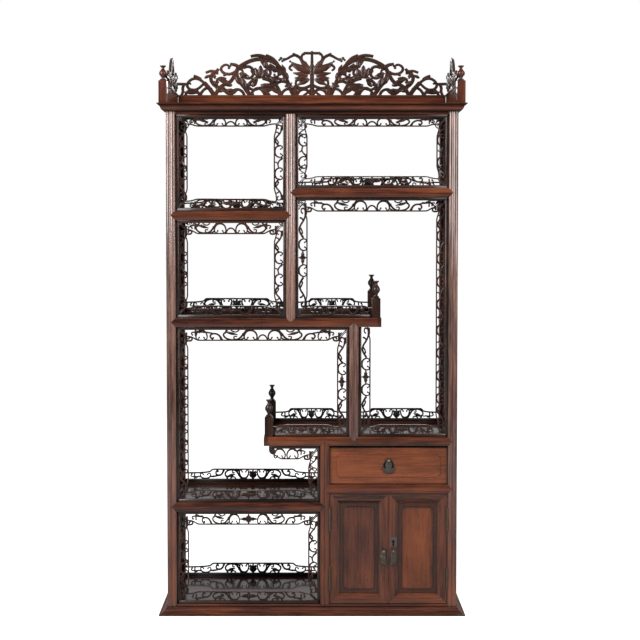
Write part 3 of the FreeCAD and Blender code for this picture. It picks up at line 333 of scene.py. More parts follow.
def soften(obj, width=EDGE):
    """Fine bevels on a part of the solid model. With no width its edges stay crisp."""
    weld = obj.modifiers.new("merge", "WELD")
    weld.merge_threshold = 0.01 * MM
    flat = obj.modifiers.new("flat_faces", "DECIMATE")
    flat.decimate_type = "DISSOLVE"
    flat.angle_limit = math.radians(2)
    if width:
        bevel = obj.modifiers.new("edges", "BEVEL")
        bevel.width, bevel.segments = width, 2
        bevel.limit_method, bevel.angle_limit = "ANGLE", math.radians(32)
    obj.modifiers.new("shading", "WEIGHTED_NORMAL").keep_sharp = True


def loose_parts(mesh):
    """The faces of each solid in a mesh, as lists of face numbers, by shared places."""
    work = bmesh.new()
    work.from_mesh(mesh)
    bmesh.ops.remove_doubles(work, verts=work.verts, dist=0.01 * MM)
    spots = {}
    for face in work.faces:
        spots[tuple(round(c, 5) for c in face.calc_center_median())] = face
    group = {}
    for start in work.faces:
        if start in group:
            continue
        group[start], todo = start, [start]
        while todo:
            for edge in todo.pop().edges:
                for other in edge.link_faces:
                    if other not in group:
                        group[other] = start
                        todo.append(other)
    parts = {}
    for polygon in mesh.polygons:
        centre = sum((mesh.vertices[v].co for v in polygon.vertices), Vector()) / 3
        face = spots.get(tuple(round(c, 5) for c in centre))
        parts.setdefault(group.get(face), []).append(polygon.index)
    work.free()
    return list(parts.values())


def only(obj, *materials):
    """Gives an object these materials alone."""
    obj.data.materials.clear()
    for material in materials:
        obj.data.materials.append(material)


def grain_by_part(obj, woods):
    """Gives each solid of a node the finish whose grain runs along its longest side."""
    only(obj, *woods.values())
    for part in loose_parts(obj.data):
        corners = [obj.data.vertices[v].co for i in part for v in obj.data.polygons[i].vertices]
        spans = [max(c[k] for c in corners) - min(c[k] for c in corners) for k in range(3)]
        for i in part:
            obj.data.polygons[i].material_index = spans.index(max(spans))


def grain_by_place(obj, woods, member):
    """Grain for a mitred frame: each face belongs to the edge of the frame that it is nearest.

    The frame's members are as broad as said. Its long sides run along x, and its short ones
    along the frame's other long direction.
    """
    only(obj, *woods.values())
    corners = [vertex.co for vertex in obj.data.vertices]
    lows, highs = ([pick(c[k] for c in corners) for k in range(3)] for pick in (min, max))
    other = 1 if highs[1] - lows[1] > highs[2] - lows[2] else 2
    for polygon in obj.data.polygons:
        centre = polygon.center
        from_side = min(centre.x - lows[0], highs[0] - centre.x)
        from_end = centre[other] - lows[other]
        if other == 2:
            from_end = min(from_end, highs[2] - centre.z)
        polygon.material_index = other if from_side < min(member, from_end) else 0


JOINERY = [n for n in nodes if n.endswith(("_post", "_posts", "_frame", "_mouldings", "_boards"))
           and "finial" not in n and "crest" not in n]
REEDED = ("front_left_post", "front_right_post", "upper_divider_posts", "middle_divider_posts")
MITRED = {"left_door_frame": 31 * MM, "right_door_frame": 31 * MM,
          "plinth_mouldings": 62 * MM, "cornice_mouldings": 62 * MM}
SHADE_FROM = 60 * MM
for name in JOINERY:
    obj = nodes[name]
    if name in MITRED:
        grain_by_place(obj, plinth_wood if "plinth" in name else frame_wood, MITRED[name])
    elif name in REEDED:
        only(obj, post_wood)
    elif name.startswith("shelf"):
        grain_by_part(obj, {**frame_wood, "x": rail_wood(name)})
        obj.data.materials.append(shaded_wood)
        for polygon in obj.data.polygons:
            if polygon.center.y > SHADE_FROM and polygon.normal.z > 0.5:
                polygon.material_index = 3
    else:
        grain_by_part(obj, frame_wood)
    soften(obj, 0 if name.endswith("_mouldings") else EDGE)
SHELVES = [n for n in nodes if n.startswith("shelf") and n.endswith("_panel")]
for name in SHELVES + ["bottom_board", "top_board", "dust_board"]:
    only(nodes[name], polished_x)
    soften(nodes[name], EDGE / 2)
for name, material in (("drawer_front", amber_x), ("left_door_panel", cherry_z),
                       ("right_door_panel", honey_z), ("drawer_sides", bare_y),
                       ("drawer_back", bare_x), ("drawer_bottom", bare_x)):
    only(nodes[name], material)
    soften(nodes[name])
for name in nodes:
    if "hinge_leaves" in name or name.startswith("lock"):
        only(nodes[name], brass if name.startswith("lock") else hinge_bronze)
        soften(nodes[name], EDGE / 4)
    elif name.endswith(("_mount", "_drop")):
        only(nodes[name], bronze)
print("joinery nodes:", len(JOINERY))

# %% [markdown]
# ## Carved strands
# A carver saws the vine out of a board and rounds its edges. Each strand is drawn as a curve
# with a round section that swells and thins, and turned into a mesh. The mesh is then drawn
# out through the thickness of the board. Strands, leaves and balls are joined into one sprig,
# which is made once and set again and again along the boards.

# %% Strands, leaves and balls
def mesh_of(data):
    """The mesh of a curve, whose data are then removed."""
    holder = bpy.data.objects.new(data.name, data)
    mesh = bpy.data.meshes.new_from_object(holder)
    bpy.data.objects.remove(holder)
    bpy.data.curves.remove(data)
    return mesh


def strand_mesh(strands, steps=3):
    """A mesh of round strands. A strand is a list of (u, v) points and a list of radii."""
    data = bpy.data.curves.new("strands", "CURVE")
    data.dimensions, data.bevel_depth, data.bevel_resolution = "3D", 1.0, 1
    data.resolution_u, data.use_fill_caps = steps, True
    for points, radii in strands:
        line = data.splines.new("NURBS")
        line.points.add(len(points) - 1)
        for point, (u, v), radius in zip(line.points, points, radii):
            point.co, point.radius = (u, v, 0, 1), radius
        line.order_u, line.use_endpoint_u = min(3, len(points)), True
    return mesh_of(data)


def even(points, radius):
    """A strand that is as thick at its ends as in its middle."""
    return points, [radius] * len(points)


def tapered(points, thick, thin):
    """A strand that is thick at its start and thin at its tip."""
    last = len(points) - 1
    return points, [thick + (thin - thick) * i / last for i in range(len(points))]


def swept(h, points, thick, thin):
    """A tapered strand whose v is given as a share of the height h of the vine."""
    return tapered([(u, v * h) for u, v in points], thick, thin)


def add_mesh(work, mesh, matrix):
    """Adds a placed copy of a mesh. Where the matrix mirrors it, its faces are turned back out."""
    placed = mesh.copy()
    placed.transform(matrix)
    if matrix.determinant() < 0:
        placed.flip_normals()
    work.from_mesh(placed)
    bpy.data.meshes.remove(placed)


def finished_mesh(work, name):
    mesh = bpy.data.meshes.new(name)
    work.to_mesh(mesh)
    work.free()
    return mesh


def leaf_shape():
    """A pointed leaf one long and one wide, from u = 0 to u = 1, with a raised middle."""
    work = bmesh.new()
    bmesh.ops.create_uvsphere(work, u_segments=6, v_segments=6, radius=0.5,
                              matrix=Matrix.Rotation(math.radians(90), 4, "Y"))
    tip = [v for v in work.verts if v.co.x > 0.2]
    bmesh.ops.scale(work, vec=(1, 0.62, 0.8), verts=tip)
    bmesh.ops.translate(work, vec=(0.5, 0, 0), verts=work.verts)
    return finished_mesh(work, "leaf")


def ball_shape():
    work = bmesh.new()
    bmesh.ops.create_uvsphere(work, u_segments=7, v_segments=5, radius=1)
    return finished_mesh(work, "ball")


LEAF, BALL = leaf_shape(), ball_shape()
SPRIG_DEPTH, VEINED = 8.0, 25.0
LEAF_DEPTH, BALL_DEPTH, VEIN_LONG, VEIN_WIDE = 0.86, 0.45, 0.95, 0.24
SHARP_FROM = math.radians(48)


def set_at(u, v, along=1.0, across=1.0, deep=1.0):
    """The matrix that sets a flat sprig at a place, stretched along, across and in depth."""
    return Matrix.Translation((u, v, 0)) @ Matrix.Diagonal((along, across, deep, 1))


def sprig(name, strands, leaves=(), balls=(), depth=SPRIG_DEPTH, steps=3, bold=1.0):
    """One carved sprig, in millimetres. Bold makes its strands, leaves and balls stouter.

    A leaf is (u, v, length, width, angle in degrees), a ball is (u, v, radius).
    """
    work = bmesh.new()
    strands = [(points, [radius * bold for radius in radii]) for points, radii in strands]
    mesh = strand_mesh(strands, steps)
    thick = max(max(radii) for _, radii in strands)
    add_mesh(work, mesh, set_at(0, 0, 1, 1, depth / (2 * thick)))
    for u, v, length, width, angle in leaves:
        turn = set_at(u, v) @ Matrix.Rotation(math.radians(angle), 4, "Z")
        width *= bold
        add_mesh(work, LEAF, turn @ Matrix.Diagonal((length, width, depth * LEAF_DEPTH, 1)))
        if length > VEINED:
            add_mesh(work, LEAF, turn @ Matrix.Diagonal((length * VEIN_LONG, width * VEIN_WIDE,
                                                         depth, 1)))
    for u, v, radius in balls:
        add_mesh(work, BALL, set_at(u, v, radius * bold, radius * bold, depth * BALL_DEPTH))
    bpy.data.meshes.remove(mesh)
    return finished_mesh(work, name)


def put_piece(name, mesh, material, body="cabinet", replaced=()):
    """An object at the origin with its finish, which rides on a body."""
    obj = bpy.data.objects.new(name, mesh)
    bpy.context.collection.objects.link(obj)
    mesh.materials.append(material)
    for polygon in mesh.polygons:
        polygon.use_smooth = True
    mesh.set_sharp_from_angle(angle=SHARP_FROM)
    if replaced:
        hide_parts(*replaced)
    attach(obj, body)
    return obj


# %% [markdown]
# ## The vine of the fret boards
# Each opening is edged with a band of scrolling vine between a plain strip on the frame and a
# thin border. Along the upright bands C-scrolls with ball ends are joined by bowed links, and
# a long S runs from the last one to the mitre. A level band is drawn from its middle: a
# pointed flower or a small arch, a round scroll that opens to the border, a deeper one that
# holds a leaf, a small one, and a bar at the mitre.

# %% Sprigs of the vine
STRIP, BORDER = 10.0, 2.3
LOW, NARROW, WIDE = 10.0, 33.0, 40.0
HANGING_WIDE, BACK_WIDE, BACK_RAISE = 46.0, 45.9, 2.0
BOLD = {BACK_WIDE: 1.25}
UPRIGHT_CELL, TAIL, END = 72.0, 88.0, 36.0
STARRED, STAR_ROOM, STAR_SHARE, PAIRED = 270.0, 42.0, 0.72, 160.0
FLOWER_ROOM = {"star": 50.0, "tulip": 36.0, "arch": 34.0}
SCROLL_RUN = {3: 136, 2: 80, 1: 24}
TIGHTEST = {3: 0.70, 2: 0.62}
LONE_SCROLL, MOST_STRETCH, GAP_TO_FILL, FILLER_ROOM = 21.0, 1.15, 12, 20
RAISED_BOLD = 0.5


def c_scroll(middle, h, wide=19.0, back=3.6, up=True):
    """A C with ball ends. Its back is on the border, or on the strip where not up."""
    half = [(8, 0.24), (10.5, 0.06), (17, 0.09), (wide + 1, 0.42), (wide * 0.72, 0.84), (0, 1.0)]
    points = [(middle - u, v * h) for u, v in half] + [(middle + u, v * h) for u, v in half[-2::-1]]
    radii = [1.9, 1.9, 2.1, 2.4, 2.8, back, 2.8, 2.4, 2.1, 1.9, 1.9]
    balls = [(middle + way * 7.6, 0.27 * h, 3.1) for way in (-1, 1)]
    if not up:
        points = [(u, h - v) for u, v in points]
        balls = [(u, h - v, radius) for u, v, radius in balls]
    return (points, radii), balls


def flipped(points, up):
    """Points for a C whose back is on the strip instead of the border."""
    return points if up else [(u, 1 - v) for u, v in points]


def upright_c(h, up):
    """The C of an upright band."""
    scroll, balls = c_scroll(0, h, up=up)
    return sprig("upright_c", [scroll], [], balls)


def upright_link(h, up):
    """The bowed link from one C to the next, with a hook and a leaf."""
    bow = flipped([(17, 0.42), (24, 0.57), (33, 0.60), (43, 0.42), (52, 0.04)], up)
    hook = flipped([(31, 0.60), (38, 0.70), (38, 0.90)], up)
    leaf_v = 0.06 if up else 0.94
    return sprig("upright_link", [swept(h, bow, 2.4, 2.8), swept(h, hook, 2.2, 2.4)],
                 [(53, leaf_v * h, 13, 7, 150 if up else -150)])


def upright_tail(h, up):
    """The long S that runs from the last C to the mitre, with two hooks and a leaf."""
    run = flipped([(16, 0.40), (25, 0.72), (36, 0.94), (48, 0.74), (58, 0.38), (72, 0.14),
                   (88, 0.10)], up)
    first = flipped([(42, 0.86), (36, 0.56), (27, 0.50)], up)
    second = flipped([(57, 0.42), (66, 0.60), (64, 0.86)], up)
    loop = flipped([(76, 0.14), (86, 0.18), (88, 0.66), (76, 0.70), (75, 0.46)], up)
    leaf_v = 0.22 if up else 0.78
    return sprig("upright_tail", [swept(h, run, 3.2, 2.6), swept(h, first, 2.6, 2.2),
                                  swept(h, second, 2.6, 2.2), swept(h, loop, 2.4, 2.1)],
                 [(66, leaf_v * h, 22, 9, -14 if up else 14)],
                 [(28, (0.55 if up else 0.45) * h, 3.1)])


def level_half(h, reach, bold):
    """The vine from the scroll beside the middle of a level band, in one to three scrolls."""
    scroll, balls = c_scroll(0, h, 18.0, 3.4, up=False)
    strands, leaves = [scroll], []
    if reach > 1:
        strands += [swept(h, [(10, 0), (17, 0.25), (24, 0.56), (33, 0.88), (50, 0.99), (69, 0.86),
                              (79, 0.50), (71, 0.16), (60, 0.24)], 3.3, 2.5),
                    swept(h, [(73, 0.36), (70, 0.12), (66, -0.02)], 2.5, 3.0),
                    swept(h, [(17, 0.70), (24, 0.92), (32, 1.0)], 2.4, 2.8),
                    swept(h, [(42, 0.98), (50, 0.74), (44, 0.58), (38, 0.66)], 2.3, 2.0),
                    swept(h, [(33, 0.02), (38, 0.20), (48, 0.20), (56, 0.03)], 2.2, 2.2)]
        leaves += [(68, 0.24 * h, 34, 9.5, 166), (20, 0.62 * h, 12, 6, -70)]
        balls.append((62, 0.28 * h, 3.8))
    if reach > 2:
        strands += [swept(h, [(80, 1.0), (86, 0.60), (97, 0.34), (112, 0.38), (116, 0.74),
                              (106, 0.92)], 3.2, 2.5),
                    swept(h, [(104, 0.38), (117, 0.22), (136, 0.24)], 2.7, 2.4)]
        leaves += [(80, 0.98 * h, 14, 6.5, -50), (118, 0.22 * h, 15, 6, 8)]
        balls.append((106, 0.78 * h, 3.6))
    return sprig("level", strands, leaves, balls, bold=bold)


def band_end(h, square):
    """A bar and a curl beside the mitre. A hanging band also has a square loop there."""
    strands = [swept(h, [(29, -0.05), (28, 0.5), (29, 1.0)], 2.5, 2.5),
               swept(h, [(28, 0.36), (20, 0.34), (14, 0.55), (19, 0.84)], 2.6, 2.1),
               swept(h, [(29, 0.34), (40, 0.40), (52, 0.32)], 2.5, 2.5)]
    leaves = [(31, 0.1 * h, 16, 7, 35)]
    balls = [(19, 0.78 * h, 3.4)]
    if square:
        strands += [swept(h, [(0, 0.4), (-1, 1.5), (3, 1.72), (15, 1.72), (18, 1.5), (18, 1.16),
                              (8, 1.12), (7, 1.42)], 3.0, 3.0),
                    swept(h, [(-10, 0.45), (-3, 0.5), (-3, 1.0)], 2.3, 2.3)]
        balls.append((7.5, 1.4 * h, 3.0))
    return sprig("end", strands, leaves, balls)


def star(h):
    """A flower of four pointed petals, longer along the band."""
    leaves = [(0, h / 2, 32, 12, 90 + 90 * way) for way in (-1, 1)]
    leaves += [(0, h / 2, h * 0.52, 11, 90 * way) for way in (-1, 1)]
    leaves += [(0, h / 2, h * 0.38, 8, 90 * k + 45) for k in range(4)]
    return sprig("star", [even([(0, -1), (0, h + 1)], 2.0)], leaves, [(0, h / 2, 4)])


def tulip(h):
    """The upright leaf flower in the middle of a back gallery."""
    leaves = [(0, 0, h, 16, 90), (0, 0, h * 0.98, 14, 66), (0, 0, h * 0.98, 14, 114),
              (0, h * 0.2, 18, 12, 25), (0, h * 0.2, 18, 12, 155), (0, h * 0.62, 17, 10, 8),
              (0, h * 0.62, 17, 10, 172)]
    return sprig("tulip", [even([(0, -1), (0, h + 1)], 3.4)], leaves, [(0, h * 0.5, 8)])


heights = {wide: wide - LOW - BORDER for wide in (NARROW, WIDE, BACK_WIDE, HANGING_WIDE)}
upright_cs, upright_links, upright_tails = (
    {(wide, up): made(h, up) for wide, h in heights.items() for up in (False, True)}
    for made in (upright_c, upright_link, upright_tail))
halves = {(wide, reach): level_half(h, reach, BOLD.get(wide, 1.0))
          for wide, h in heights.items() for reach in (1, 2, 3)}
arches = {wide: sprig("arch", [swept(h, [(-16, 1.0), (-13, 0.66), (0, 0.42), (13, 0.66),
                                         (16, 1.0)], 2.6, 2.6)])
          for wide, h in heights.items()}
ends = {square: band_end(heights[NARROW], square) for square in (False, True)}
stars = {wide: star(h) for wide, h in heights.items()}
tulips = {wide: tulip(h) for wide, h in heights.items()}
free_end = sprig("free_end", [tapered([(3, -4), (1, 5), (4, 13), (13, 17), (18, 10), (12, 6)],
                                      5.5, 3.5)], [(2, 2, 22, 13, 25)], [(12, 9, 4.5)])
print("faces in a C:", len(upright_cs[WIDE, True].polygons),
      "in a level half:", len(halves[WIDE, 3].polygons))

# %% [markdown]
# ## Bands along the edges of an opening
# A band is laid out flat, with u along its run and v into the opening, and is then set in
# place by one matrix, so the same code makes standing, hanging and upright bands. The number
# of repeats follows the length, and each repeat is stretched a little to close the row.

# %% Laying out a band
STRIP_EDGE, BAR_EDGE = 0.6, 0.5
MITRE_BAR, MITRE_TWIG, SUNK = 2.8, 2.4, -0.4
FREE_START, LONG_RAMP, RAISED_RAMP, RAMP_SCROLL = 3.0, 70, 0.2, 28
END_ROOM, END_TAKES, FREE_TAKES = 2.2, 0.8, 4.0


def block(work, matrix):
    """A cube of size one, placed by a matrix. Gives its corners and its edges."""
    made = bmesh.ops.create_cube(work, size=1, matrix=matrix)["verts"]
    return made, list(dict.fromkeys(e for v in made for e in v.link_edges))


def chamfer(work, edges, width):
    bmesh.ops.bevel(work, geom=edges, offset=width, segments=1, profile=0.5, affect="EDGES",
                    material=-1)


def bar_between(work, start, end, width, depth, lift=0.0):
    """A squared bar with soft edges between two points of the flat layout."""
    run = Vector(end) - Vector(start)
    middle = (Vector(start) + Vector(end)) / 2
    _, edges = block(work, Matrix.Translation((*middle, lift))
                     @ Matrix.Rotation(math.atan2(run.y, run.x), 4, "Z")
                     @ Matrix.Diagonal((run.length, width, depth, 1)))
    chamfer(work, edges, BAR_EDGE)


def strip(work, length, mitres, depth):
    """The plain strip against the frame, cut at 45 degrees at its mitred ends."""
    corners, edges = block(work, set_at(length / 2, STRIP / 2, length, STRIP, depth))
    for at_end, mitred in enumerate(mitres):
        inner = [v for v in corners if v.co.y > STRIP / 2
                 and (v.co.x > length / 2) == bool(at_end)]
        if mitred:
            bmesh.ops.translate(work, vec=(STRIP * (1 - 2 * at_end), 0, 0), verts=inner)
    chamfer(work, edges, STRIP_EDGE)


def upright_vine(work, start, clear, wide, up, deep):
    """C-scrolls along an upright band, drawn from its middle. A long one has a star there."""
    middle = start + clear / 2
    inner = STAR_ROOM if clear > STARRED else UPRIGHT_CELL / 2 if clear > PAIRED else 0.0
    room = clear / 2 - inner
    count = max(round((room - TAIL) / UPRIGHT_CELL), 0)
    share = room / (count * UPRIGHT_CELL + TAIL)
    if clear > STARRED:
        add_mesh(work, stars[wide], set_at(middle, LOW, STAR_SHARE, 1, deep))
    elif inner:
        add_mesh(work, upright_links[wide, up], set_at(middle - inner, LOW, 1, 1, deep))
    for way in (1, -1):
        for k in range(count + 1):
            u = middle + way * (inner + k * share * UPRIGHT_CELL)
            if way == 1 or inner or k:
                add_mesh(work, upright_cs[wide, up], set_at(u, LOW, 1, 1, deep))
            add_mesh(work, (upright_links if k < count else upright_tails)[wide, up],
                     set_at(u, LOW, way * share, 1, deep))
    return 2 * count + 2


def level_vine(work, middle, reach, wide, centre, deep):
    """The vine of a level band, out to its reach on each side of the middle."""
    first = FLOWER_ROOM[centre]
    scrolls = next((n for n, share in TIGHTEST.items()
                    if reach > share * (first + SCROLL_RUN[n])), 1)
    share = min(reach / (first + SCROLL_RUN[scrolls]), MOST_STRETCH)
    if scrolls > 1:
        flowers = {"star": stars, "tulip": tulips, "arch": arches}[centre]
        add_mesh(work, flowers[wide], set_at(middle, LOW, min(share, 1), 1, deep))
    else:
        first, share = LONE_SCROLL, 1.0
    for way in (1, -1):
        add_mesh(work, halves[wide, scrolls], set_at(middle + way * share * first, LOW,
                                                     way * share, 1, deep))
        if reach - share * (first + SCROLL_RUN[3]) > GAP_TO_FILL:
            add_mesh(work, halves[wide, 1],
                     set_at(middle + way * (reach - FILLER_ROOM), LOW, 1, 1, deep))
    return 2 * scrolls


def band(length, mitres, upright, centre, wide, raised, depth):
    """A whole pierced band, flat, in millimetres. It may stand raised above a broad strip.

    centre is the flower of a level band. On an upright band it says whether the scrolls turn
    their backs to the border.
    """
    work = bmesh.new()
    strip(work, length, mitres, depth)
    starts = [NARROW + 1 if mitre else FREE_START for mitre in mitres]
    room = length - sum(starts)
    end_share = min(1.0, room / (END_ROOM * END))
    ramp = RAISED_RAMP * length if raised else END * end_share
    low_end, high_end = starts[0], length - starts[1]
    ledge, top = NARROW - BORDER, wide - BORDER
    flat_share = 0.85 if raised else 0.4
    lines = []
    for at, mitre, way, edge in ((low_end, mitres[0], 1, 0), (high_end, mitres[1], -1, length)):
        line = [(at - way * 2, ledge), (at + way * ramp * flat_share, ledge),
                (at + way * ramp * 0.95, top), (at + way * (ramp + 9), top)]
        if not mitre and wide == HANGING_WIDE:
            line[:2] = [(edge + way * BORDER, STRIP - 2), (edge + way * 6, ledge - 8)]
        elif not mitre:
            line[:1] = [(edge, ledge)]
        lines.append(line)
    middle = [((low_end + high_end) / 2, top)] if room > 3 * END else []
    radius = BORDER + RAISED_BOLD * bool(raised)
    border = strand_mesh([even(lines[0] + middle + lines[1][::-1], radius)])
    add_mesh(work, border, set_at(0, 0, 1, 1, depth / 2 / radius))
    bpy.data.meshes.remove(border)
    deep = depth / SPRIG_DEPTH
    if upright:
        count = upright_vine(work, low_end, room, wide, bool(centre), deep)
    else:
        end = ends[wide == HANGING_WIDE]
        for at, mitre, way in ((low_end, mitres[0], 1), (high_end, mitres[1], -1)):
            if mitre or raised:
                add_mesh(work, end, set_at(at, LOW, way * end_share, 1, deep))
            elif wide == HANGING_WIDE:
                add_mesh(work, free_end, set_at(at, STRIP, way, 1, deep))
        inner = [END * END_TAKES * end_share if mitre else FREE_TAKES for mitre in mitres]
        if raised:
            inner = [ramp - 10] * 2
        if raised and ramp > LONG_RAMP:
            for at, way in ((low_end, 1), (high_end, -1)):
                add_mesh(work, halves[NARROW, 1],
                         set_at(at + way * (ramp - RAMP_SCROLL), LOW, way, 1, deep))
        clear = room - sum(inner)
        count = level_vine(work, low_end + inner[0] + clear / 2, clear / 2, wide, centre, deep)
    if mitres[0]:
        bar_between(work, (STRIP - 2, STRIP - 2), (NARROW + 1, NARROW + 1), MITRE_BAR, depth, SUNK)
        bar_between(work, (STRIP - 2, STRIP + 4), (NARROW - 5, NARROW + 1), MITRE_TWIG, depth, SUNK)
    if raised:
        bmesh.ops.translate(work, vec=(0, raised, 0), verts=work.verts)
        bar_between(work, (0, raised / 2), (length, raised / 2), raised, depth)
    return work, count


def fret_piece(node, bands, material, depth=SPRIG_DEPTH):
    """Joins bands into the piece for a node."""
    joined = bmesh.new()
    repeats = 0
    for start, end, inward, mitres, centre, wide, raised in bands:
        run = Vector(end) - Vector(start)
        along = run.normalized()
        work, count = band(run.length / MM, mitres, abs(along.z) > 0.5, centre, wide, raised, depth)
        repeats += count
        across = Vector(inward)
        turn = Matrix((along, across, along.cross(across))).transposed().to_4x4()
        place = Matrix.Translation(Vector(start)) @ turn @ Matrix.Scale(MM, 4)
        mesh = finished_mesh(work, "band")
        add_mesh(joined, mesh, place)
        bpy.data.meshes.remove(mesh)
    mesh = finished_mesh(joined, "carved_" + node)
    put_piece(mesh.name, mesh, material, replaced=[node])
    print(node, "bands", len(bands), "repeats", repeats, "faces", len(mesh.polygons))

# %% [markdown]
# ## Where the bands go
# The edges of each opening are read from the posts and shelf frames of the solid model, so
# the bands always meet the wood that carries them.

# %% Edges of the openings
def low(node):
    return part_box(node)[0]


def high(node):
    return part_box(node)[1]


LEFT, RIGHT = high("front_left_post")[0], low("front_right_post")[0]
FLOOR, TOP = high("bottom_frame")[2], low("top_frame")[2]
UPPER_L, UPPER_R = low("upper_divider_posts")[0], high("upper_divider_posts")[0]
MIDDLE_L, MIDDLE_R = low("middle_divider_posts")[0], high("middle_divider_posts")[0]
LOWER_L = low("lower_divider_posts")[0]
UNDER, ON = {}, {}
for letter, shelf_name in (("a", "upper_left"), ("b", "upper_right"), ("c", "middle_left"),
                           ("d", "middle_right"), ("e", "lower_left")):
    UNDER[letter], ON[letter] = (corner[2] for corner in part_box("shelf_" + shelf_name + "_frame"))
STEP_RIGHT, STEP_LEFT = high("shelf_middle_left_frame")[0], low("shelf_middle_right_frame")[0]
FRONT_Y = (low("fret_lower_left_bay")[1] + high("fret_lower_left_bay")[1]) / 2
print("openings from", round(LEFT, 4), "to", round(RIGHT, 4), "fret layer y =", round(FRONT_Y, 4))

UP, DOWN, TO_RIGHT, TO_LEFT = (0, 0, 1), (0, 0, -1), (1, 0, 0), (-1, 0, 0)
BOTH, START_ONLY, END_ONLY, NEITHER = (True, True), (True, False), (False, True), (False, False)


def front(x0, z0, x1, z1, inward, mitres=BOTH, wide=WIDE, centre=None):
    """A band in the front. One that stands on a shelf has a star in its middle."""
    usual = {UP: "star", DOWN: "arch", TO_RIGHT: False, TO_LEFT: True}[inward]
    return (x0, FRONT_Y, z0), (x1, FRONT_Y, z1), inward, mitres, centre or usual, wide, 0


def side(x, ya, za, yb, zb, inward, mitres=BOTH):
    return (x, ya, za), (x, yb, zb), inward, mitres, "arch", NARROW, 0


def hanging(x0, x1, z, mitres=BOTH, centre=None):
    """The deeper band under a shelf."""
    return front(x0, z, x1, z, DOWN, mitres, HANGING_WIDE, centre)


def framed(x0, x1, z0, z1, wide=HANGING_WIDE, centre=None):
    """The four bands of a plain opening: standing, right, hanging and left."""
    return [front(x0, z0, x1, z0, UP), front(x1, z0, x1, z1, TO_LEFT),
            front(x1, z1, x0, z1, DOWN, BOTH, wide, centre), front(x0, z1, x0, z0, TO_RIGHT)]


FINIAL_POST = 27 * MM
POST_INSET = 3 * MM
right_post_x = STEP_RIGHT - POST_INSET - FINIAL_POST
left_post_x = STEP_LEFT + POST_INSET + FINIAL_POST
gallery_y = (low("step_finial_posts")[1] + FINIAL_POST, high("step_finial_posts")[1] - FINIAL_POST)
# The front bands take the carved wood darkened with painted shade.
FRONT_WOOD = shaded_pierced_wood["x"]
fret_piece("fret_upper_left_bay", framed(LEFT, UPPER_L, ON["a"], TOP, WIDE), FRONT_WOOD)
fret_piece("fret_upper_right_bay", framed(UPPER_R, RIGHT, ON["b"], TOP, WIDE), FRONT_WOOD)
fret_piece("fret_second_left_bay", framed(LEFT, UPPER_L, ON["c"], UNDER["a"]), FRONT_WOOD)
fret_piece("fret_lower_left_bay", framed(LEFT, LOWER_L, FLOOR, UNDER["e"], centre="star"),
           FRONT_WOOD)
fret_piece("fret_right_bay", [
    hanging(RIGHT, UPPER_R, UNDER["b"]),
    front(UPPER_R, UNDER["b"], UPPER_R, ON["c"], TO_RIGHT),
    front(UPPER_R, ON["c"], right_post_x, ON["c"], UP, START_ONLY),
    front(MIDDLE_R, UNDER["c"], MIDDLE_R, ON["d"], TO_RIGHT, END_ONLY),
    front(MIDDLE_R, ON["d"], RIGHT, ON["d"], UP),
    front(RIGHT, ON["d"], RIGHT, UNDER["b"], TO_LEFT),
    side(right_post_x + FINIAL_POST / 2, gallery_y[0], ON["c"], gallery_y[1], ON["c"], UP,
         NEITHER)], FRONT_WOOD)
fret_piece("fret_left_bay", [
    hanging(MIDDLE_L, LEFT, UNDER["c"]),
    front(LEFT, UNDER["c"], LEFT, ON["e"], TO_RIGHT),
    front(LEFT, ON["e"], LOWER_L, ON["e"], UP),
    front(LOWER_L, ON["e"], LOWER_L, UNDER["d"], TO_LEFT),
    hanging(LOWER_L, left_post_x - FINIAL_POST / 2, UNDER["d"], START_ONLY),
    front(left_post_x, ON["d"], MIDDLE_L, ON["d"], UP, END_ONLY),
    front(MIDDLE_L, ON["d"], MIDDLE_L, UNDER["c"], TO_LEFT),
    side(left_post_x - FINIAL_POST / 2, gallery_y[0], ON["d"], gallery_y[1], ON["d"], UP,
         NEITHER)], FRONT_WOOD)

# %% [markdown]
# ## Open sides, shelf ends and back
# The sides have the same bands, seen from both faces, and the low galleries at the shelf
# ends and along the back rails keep things from falling off. The back galleries are raised
# in the middle, where a dark flower fills them.

# %% Side bands and galleries
def side_framed(x, z0, z1):
    y0, y1 = SIDE_FRONT, SIDE_BACK
    return [side(x, y0, z0, y1, z0, UP), side(x, y1, z0, y1, z1, (0, -1, 0)),
            side(x, y1, z1, y0, z1, DOWN), side(x, y0, z1, y0, z0, (0, 1, 0))]


SIDE_FRONT, SIDE_BACK = low("left_side_frets")[1], high("left_side_frets")[1]
side_x = (low("right_side_frets")[0] + high("right_side_frets")[0]) / 2
left_bands, right_bands = [], []
for z0, z1 in ((FLOOR, UNDER["e"]), (ON["e"], UNDER["c"]), (ON["c"], UNDER["a"]), (ON["a"], TOP)):
    left_bands += side_framed(-side_x, z0, z1)
for z0, z1 in ((ON["d"], UNDER["b"]), (ON["b"], TOP)):
    right_bands += side_framed(side_x, z0, z1)
# The side bands take the darker wood of painted shade.
fret_piece("left_side_frets", left_bands, shaded_side_wood)
fret_piece("right_side_frets", right_bands, shaded_side_wood)

